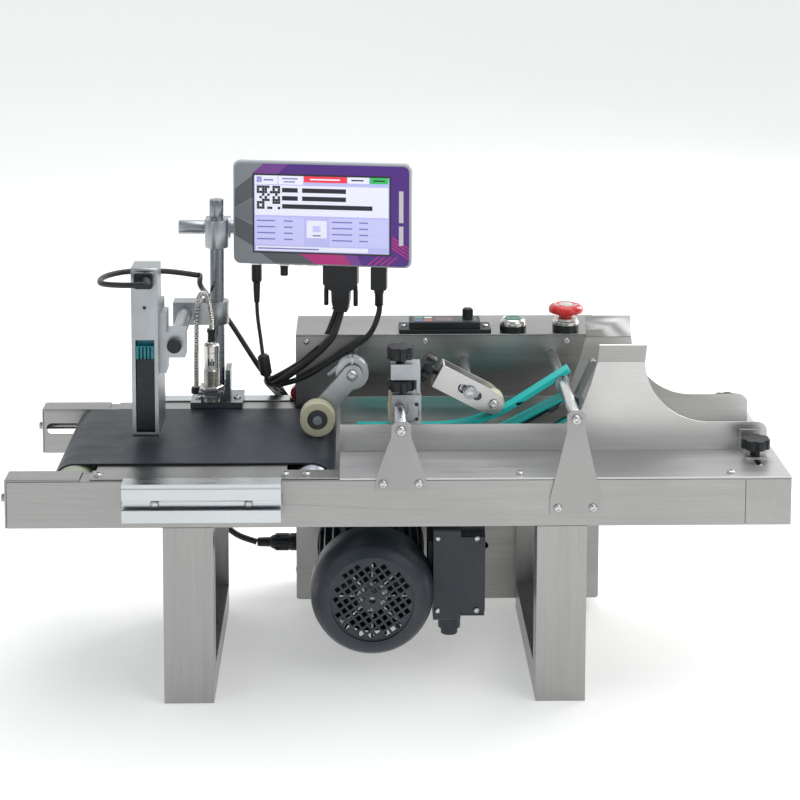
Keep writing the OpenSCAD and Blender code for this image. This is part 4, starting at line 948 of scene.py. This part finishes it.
    def plug(x, y, profile, steps=36):
        lathe(bm, profile, place @ Matrix.Translation(Vector((x, y, -half_h)) * MM) @ Matrix.Rotation(math.pi, 4, "X"),
              steps)

    plug(-77, 12, [(0, -1), (4.6, -1), (4.6, 2), (5.9, 2.6), (6, 20), (5.4, 22), (4.2, 23), (3.8, 34), (3.2, 46),
                   (2.4, 47), (0, 47)])
    plug(-45, 12, [(0, -1), (4.9, -1), (4.9, 4), (4.5, 5), (4.5, 14), (0, 14)])
    for x, w, d in ((-28, 9, 4.6), (-12, 9, 4.6)):
        prism(bm, round_rect(x - w / 2, 12 - d / 2, x + w / 2, 12 + d / 2, 1.2), -half_h - 1.5, -half_h + 1, place)
    # D-sub hood: wide shell, shoulders, strain relief
    prism(bm, [(x, z) for x, z in ((0.5, 0), (40, 0), (40, -21), (35.5, -27), (31, -29), (30.5, -42), (28, -53),
                                    (14, -53), (10.5, -42), (10, -29), (5.5, -27), (0.5, -21))], -19.4, -4.6,
          upright @ Matrix.Translation((0, -half_h * MM, 0)))
    prism(bm, round_rect(55, -27, 73, 0, 2), -18, -6, upright @ Matrix.Translation((0, -half_h * MM, 0)))
    plug(64, 12, [(0, 26), (5.6, 26), (5.8, 29), (4.8, 33), (4.4, 40), (3.6, 46), (3.0, 47), (0, 47)])
    for i in range(5):
        plug(64, 12, [(4.2, 33.5 + i * 2.5), (5.2, 34.0 + i * 2.5), (5.2, 34.9 + i * 2.5), (4.2, 35.4 + i * 2.5)])
    for i in range(4):
        slab(bm, (11, -50 + i * 4, -19.9), (29.5, -48.2 + i * 4, -4.1), upright @ Matrix.Translation((0, -half_h * MM, 0)))
    for x in (3.4, 37.2):
        lathe(bm, [(0, 0), (2.3, 0), (2.7, 1), (2.7, 18), (2.3, 19), (2.3, 24), (0, 24)],
              place @ Matrix.Translation(Vector((x, 12, -half_h - 47)) * MM), 20)
    finish_mesh(bm, "controller_plugs", black, body, edge=0.6)
    bm = bmesh.new()
    for x, w in ((20.2, 34), (-28, 12), (-12, 12), (64, 14)):
        prism(bm, round_rect(x - w / 2, 6.2, x + w / 2, 17.8, 2), -half_h - 1.1, -half_h + 0.5, place)
    for x in (-77, -45):
        plug(x, 12, [(5.2, -1), (7.2, -1), (7.2, 1.6), (6.6, 2.2), (5.2, 2.2)], 6)
    finish_mesh(bm, "controller_ports", nickel, body, edge=0.2)
    bm = bmesh.new()
    for x in (-66, 66):
        for z in (-44, 47):
            button_head(bm, aim(place @ (Vector((x, 23.9, z)) * MM), place.to_3x3() @ Y), 2.8, 1.8)
    finish_mesh(bm, "controller_back_screws", zinc, body)
    # clamp barrel between the back of the case and the cross rod
    bm = bmesh.new()
    closed_lathe(bm, [(8.05, 0), (12.2, 0), (13, 0.8), (13, 33.2), (12.2, 34), (8.05, 34)],
                 aim(at(-118, 287, 437), X), 48)
    prism(bm, round_rect(-12, -9, 12, 9, 2), 0, 18, Matrix.Translation(at(-101, 256.6, 437))
          @ Matrix.Rotation(math.radians(-90), 4, "X"))
    lathe(bm, [(0, 0), (3.4, 0), (3.4, 10), (3, 10.6), (0, 10.6)], aim(at(-101, 287, 449), Z), 24)
    finish_mesh(bm, "controller_clamp", aluminium, body, edge=0.6)


build_controller()

# ---- cables -----------------------------------------------------------------------------

HEAD_LOOP = [(-264, 84, 421), (-264, 76, 420), (-290, 78, 419), (-312, 96, 417), (-312, 130, 416), (-290, 158, 415),
             (-252, 180, 410), (-218, 187, 404)]
HEAD_DROP = [(-218, 187, 404), (-217, 208, 398), (-219, 234, 382), (-214, 275, 360), (-190, 276, 330),
             (-153, 266, 275), (-141, 284, 258), (-132, 299, 240), (-123, 304, 224), (-113, 306, 215)]
CONTROLLER_CABLES = {
    "supply_cable": (2.2, [(-157, 263, 358), (-156, 262, 338), (-152, 254, 312), (-148, 244, 286), (-144, 248, 264),
                           (-138, 274, 254), (-129, 299, 240), (-121, 305, 227), (-113, 308, 222)]),
    "control_cable": (4.0, [(-60, 249, 352), (-63, 247, 338), (-72, 238, 318), (-96, 234, 295), (-128, 240, 270),
                            (-141, 266, 257), (-135, 299, 246), (-125, 305, 230), (-113, 307, 219)]),
    "second_control_cable": (3.2, [(-65, 251, 352), (-70, 250, 336), (-80, 246, 316), (-106, 244, 290), (-136, 250, 270),
                                   (-147, 272, 260), (-139, 300, 240), (-127, 310, 224), (-113, 312, 213)]),
    "display_cable": (3.2, [(-17.4, 242.4, 362), (-18, 241, 346), (-30, 236, 322), (-62, 234, 300), (-100, 235, 276),
                            (-128, 244, 264), (-142, 268, 256), (-136, 300, 240), (-124, 308, 224), (-113, 309, 214)]),
}
MOTOR_CORD = [(-160, 286, 62), (-186, 284, 74), (-205, 280, 100), (-190, 276, 140), (-150, 274, 160),
              (-113, 278, 172)]
SENSOR_CABLE = [(-205.5, 215, 326), (-206, 216, 352), (-212, 222, 374), (-222, 230, 362), (-224, 232, 302),
                (-224, 231, 262)]


def cable(name, points, radius, material=cable_rubber, steps=10, bead=None):
    """A cable tube through the points, with an optional bead; it rides on no body."""
    bm = bmesh.new()
    tube(bm, [at(*p) for p in points], radius, steps)
    if bead:
        lathe(bm, [(0, 0), (4, 0), (6.4, 2), (6.8, 4), (6.8, 21), (6.4, 23), (4, 25), (0, 25)],
              aim(at(*bead[0]), at(*bead[1]) - at(*bead[0])), 28)
    obj = finish_mesh(bm, name, material, None)
    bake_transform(obj)
    return obj


def build_cables():
    cable("head_cable_loop", HEAD_LOOP, 3.0)
    cable("head_cable_drop", HEAD_DROP, 3.0)
    for name, (radius, points) in CONTROLLER_CABLES.items():
        cable(name, points, radius,
              bead=((-149.5, 247, 298), (-145.5, 245.5, 274)) if name == "supply_cable" else None)
    cable("sensor_lead_sleeve", SENSOR_CABLE, lambda u: 2.75 + 0.32 * math.sin(u * 2 * math.pi * 70),
          nickel, 60)
    bm = bmesh.new()
    tube(bm, [at(*p) for p in MOTOR_CORD], 3.5)
    lathe(bm, [(0, 0), (13, 0), (13, 1.4), (11.5, 3.2), (9.5, 4), (0, 4)], aim(at(-112, 308, 218), -X), 40)
    lathe(bm, [(0, 0), (9, 0), (9, 3), (7, 4.5), (5, 9), (0, 9)], aim(at(-112, 278, 172), -X), 32)
    finish_mesh(bm, "cable_runs", cable_rubber, replaces=("cables",))
    bm = bmesh.new()
    lathe(bm, [(0, 0), (9.6, 0), (10, 0.8), (10, 8), (9.2, 9), (9, 20), (8.2, 28), (6.6, 31), (5.6, 32), (5.2, 45),
               (4.4, 47), (0, 47)], aim(at(-112, 286, 62), -X), 36)
    for i in range(10):
        slab(bm, (8.8, -0.8, 10), (9.9, 0.8, 26), aim(at(-112, 286, 62), -X) @ Matrix.Rotation(math.pi * i / 5, 4, "Z"))
    finish_mesh(bm, "motor_plug", black)
    bm = bmesh.new()
    lathe(bm, [(0, 0), (4.2, 0), (4.2, 10), (5, 10.5), (5, 14), (0, 14)], aim(at(-205.5, 215, 322), Z), 28)
    finish_mesh(bm, "sensor_lead_gland", black, "sensor")
    bm = bmesh.new()
    lathe(bm, [(0, 0), (6, 0), (6, 5), (5, 7), (0, 7)], aim(at(-224, 231, 258), Z), 28)
    finish_mesh(bm, "sensor_lead_end", black)
    # plug and gland on the front of the print head
    bm = bmesh.new()
    prism(bm, round_rect(-277, 412, -257, 429, 3), -98.4, -88, Matrix.Translation(at(0, 0, 0)) @ Matrix.Rotation(
        math.radians(90), 4, "X"))
    lathe(bm, [(0, 0), (5.4, 0), (5.4, 4), (4.4, 6), (3.6, 12), (0, 12)], aim(at(-264, 88, 420.5), -Y), 28)
    finish_mesh(bm, "head_cable_plug", black, "print_head", edge=0.6)


build_cables()

# ---- sensor -----------------------------------------------------------------------------

def build_sensor():
    low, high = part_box("sensor")
    r = (high.x - low.x) / 2 / MM
    place = Matrix.Translation(((low.x + high.x) / 2, (low.y + high.y) / 2, low.z))
    length = (high.z - low.z) / MM
    profile = [(0, 1.2), (r - 2, 1.2), (r - 1.4, 0.4)]
    z = 1.0
    while z < 38:
        profile += [(r - 0.75, z), (r - 0.05, z + 0.5)]
        z += 1.0
    profile += [(r - 0.8, 39), (r - 0.8, length - 12), (r - 0.2, length - 11.6), (r - 0.2, length - 4),
                (r - 1.6, length - 2.2), (5.4, length - 1.6), (5.4, length), (0, length)]
    bm = bmesh.new()
    lathe(bm, profile, place, 40)
    finish_mesh(bm, "sensor_barrel", nickel, "sensor", ("sensor",))
    bm = bmesh.new()
    lathe(bm, [(0, 0), (r - 2, 0), (r - 1.6, 0.5), (r - 1.6, 1.3), (0, 1.3)], place, 36)
    finish_mesh(bm, "sensor_lens", black_gloss, "sensor")
    bm = bmesh.new()
    for i in range(4):
        slab(bm, (-3.6 + i * 2, -(r - 0.9) - 0.25, 44), (-2.4 + i * 2, -(r - 0.9) + 2, 52 - i % 2 * 3), place)
    finish_mesh(bm, "sensor_marks", black, "sensor")


build_sensor()

# ---- small fittings ---------------------------------------------------------------------

def build_fittings():
    # black plug in the open front end of the head rod
    bm = bmesh.new()
    lathe(bm, [(0, 0), (7.4, 0), (7.8, 0.5), (7.8, 2.6), (7.2, 3.6), (0, 3.9)], aim(at(-237, 110, 345.5), -Y), 40)
    finish_mesh(bm, "head_rod_plug", black, "head_arm")
    # screws at the pinch roller's axle and at its rod, in the slot of the bracket
    axle = pivot("pinch_roller_spin")
    bm = bmesh.new()
    button_head(bm, aim(Vector((axle.x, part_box("pinch_bracket")[0].y + 0.2 * MM, axle.z)), -Y), 5.2, 2.6)
    finish_mesh(bm, "pinch_axle_screw", zinc, "pinch_bracket")
    low, high = min(islands("support_rods"), key=lambda b: abs((b[0].x + b[1].x) / 2 - axle.x + 26 * MM))
    bm = bmesh.new()
    place = aim(Vector(((low.x + high.x) / 2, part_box("rod_collars")[0].y + 2.6 * MM, (low.z + high.z) / 2)), -Y)
    button_head(bm, place, 6.4, 2.8)
    finish_mesh(bm, "pinch_slot_screw", zinc)
    # bezel of the rocker switch
    bm = bmesh.new()
    low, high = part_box("rocker_switch")
    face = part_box("box_body")[0].x
    for a, b in (((low.y - 0.003, low.z - 0.003), (high.y + 0.003, low.z - 0.0004)),
                 ((low.y - 0.003, high.z + 0.0004), (high.y + 0.003, high.z + 0.003)),
                 ((low.y - 0.003, low.z - 0.0004), (low.y - 0.0004, high.z + 0.0004)),
                 ((high.y + 0.0004, low.z - 0.0004), (high.y + 0.003, high.z + 0.0004))):
        slab(bm, ((face - 0.002) / MM, a[0] / MM, a[1] / MM), (face / MM, b[0] / MM, b[1] / MM))
    finish_mesh(bm, "rocker_bezel", black, edge=0.4)
    # lid screws and gland of the terminal box
    low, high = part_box("terminal_box")
    bm = bmesh.new()
    for x in (low.x + 9 * MM, high.x - 9 * MM):
        for z in (low.z + 32 * MM, high.z - 12 * MM):
            button_head(bm, aim(Vector((x, low.y, z)), -Y), 3, 1.8)
    finish_mesh(bm, "terminal_box_screws", zinc)


build_fittings()

# ---- stage, lights and camera -----------------------------------------------------------

CREAM_WHITE = (0.86, 0.86, 0.85)


def area_light(name, place, target, width, height, power, colour=(1, 1, 1)):
    data = bpy.data.lights.new(name, "AREA")
    data.shape = "RECTANGLE"
    data.size, data.size_y = width, height
    data.energy = power
    data.color = colour
    obj = bpy.data.objects.new(name, data)
    obj.location = place
    obj.rotation_euler = (Vector(target) - Vector(place)).to_track_quat("-Z", "Y").to_euler()
    bpy.context.scene.collection.objects.link(obj)
    return obj


def build_stage():
    low, high = (Vector(c) for c in cad_box)
    middle = (low + high) / 2
    bm = bmesh.new()
    floor = low.z - 0.0005
    profile = [(-6.0, floor), (4.0, floor)]
    profile += [(4.0 + 1.5 * math.sin(a), floor + 1.5 - 1.5 * math.cos(a))
                for a in (math.radians(90 * i / 16) for i in range(1, 17))]
    profile += [(5.5, floor + 8)]
    rows = [[bm.verts.new((x, y, z)) for x in (-14, 14)] for y, z in profile]
    for a, b in zip(rows, rows[1:]):
        bm.faces.new((a[0], a[1], b[1], b[0])).smooth = True
    mesh = bpy.data.meshes.new("cove")
    bm.to_mesh(mesh)
    bm.free()
    paper = Nodes("white_paper", roughness=0.85)
    paper.set("Base Color", (*CREAM_WHITE, 1))
    paper.set("Emission Color", (*CREAM_WHITE, 1))
    paper.set("Emission Strength", 0.42)
    mesh.materials.append(paper.mat)
    cove = bpy.data.objects.new("cove", mesh)
    bpy.context.scene.collection.objects.link(cove)

    area_light("key", (2.0, -2.0, 2.0), middle, 2.0, 1.6, 17, (1, 0.985, 0.955))
    area_light("fill", (-2.2, -2.0, 1.6), middle, 1.4, 1.6, 5, (0.93, 0.965, 1))
    area_light("overhead", (0.4, 0.3, 2.4), middle, 2.4, 1.6, 26)
    area_light("back_right", (2.0, 1.6, 1.5), middle, 1.4, 1.6, 40, (1, 0.985, 0.96))

    world = bpy.data.worlds.new("studio")
    world.use_nodes = True
    background = world.node_tree.nodes["Background"]
    background.inputs["Color"].default_value = (0.90, 0.95, 1.0, 1)
    background.inputs["Strength"].default_value = 0.42
    bpy.context.scene.world = world


def build_camera():
    data = bpy.data.cameras.new("camera")
    data.sensor_width = 36
    data.lens = 85.5
    data.shift_x = 0.0149
    data.shift_y = -0.446
    camera = bpy.data.objects.new("camera", data)
    camera.location = (-0.0460, -2.0217, 0.8840)
    camera.rotation_euler = tuple(math.radians(a) for a in (83.798, -0.1, -1.097))
    bpy.context.scene.collection.objects.link(camera)
    bpy.context.scene.camera = camera
    # the lens shift belongs to this view only, so a camera turned to another side is centred
    for channel, amount in (("shift_x", 0.0149), ("shift_y", -0.446)):
        driver = data.driver_add(channel).driver
        driver.type = "SCRIPTED"
        mode = driver.variables.new()
        mode.name = "mode"
        mode.targets[0].id = camera
        mode.targets[0].data_path = "rotation_mode"
        driver.expression = f"{amount} * min(mode, 1)"


build_stage()
build_camera()
scene = bpy.context.scene
scene.view_settings.view_transform = "Standard"
scene.view_settings.look = "None"
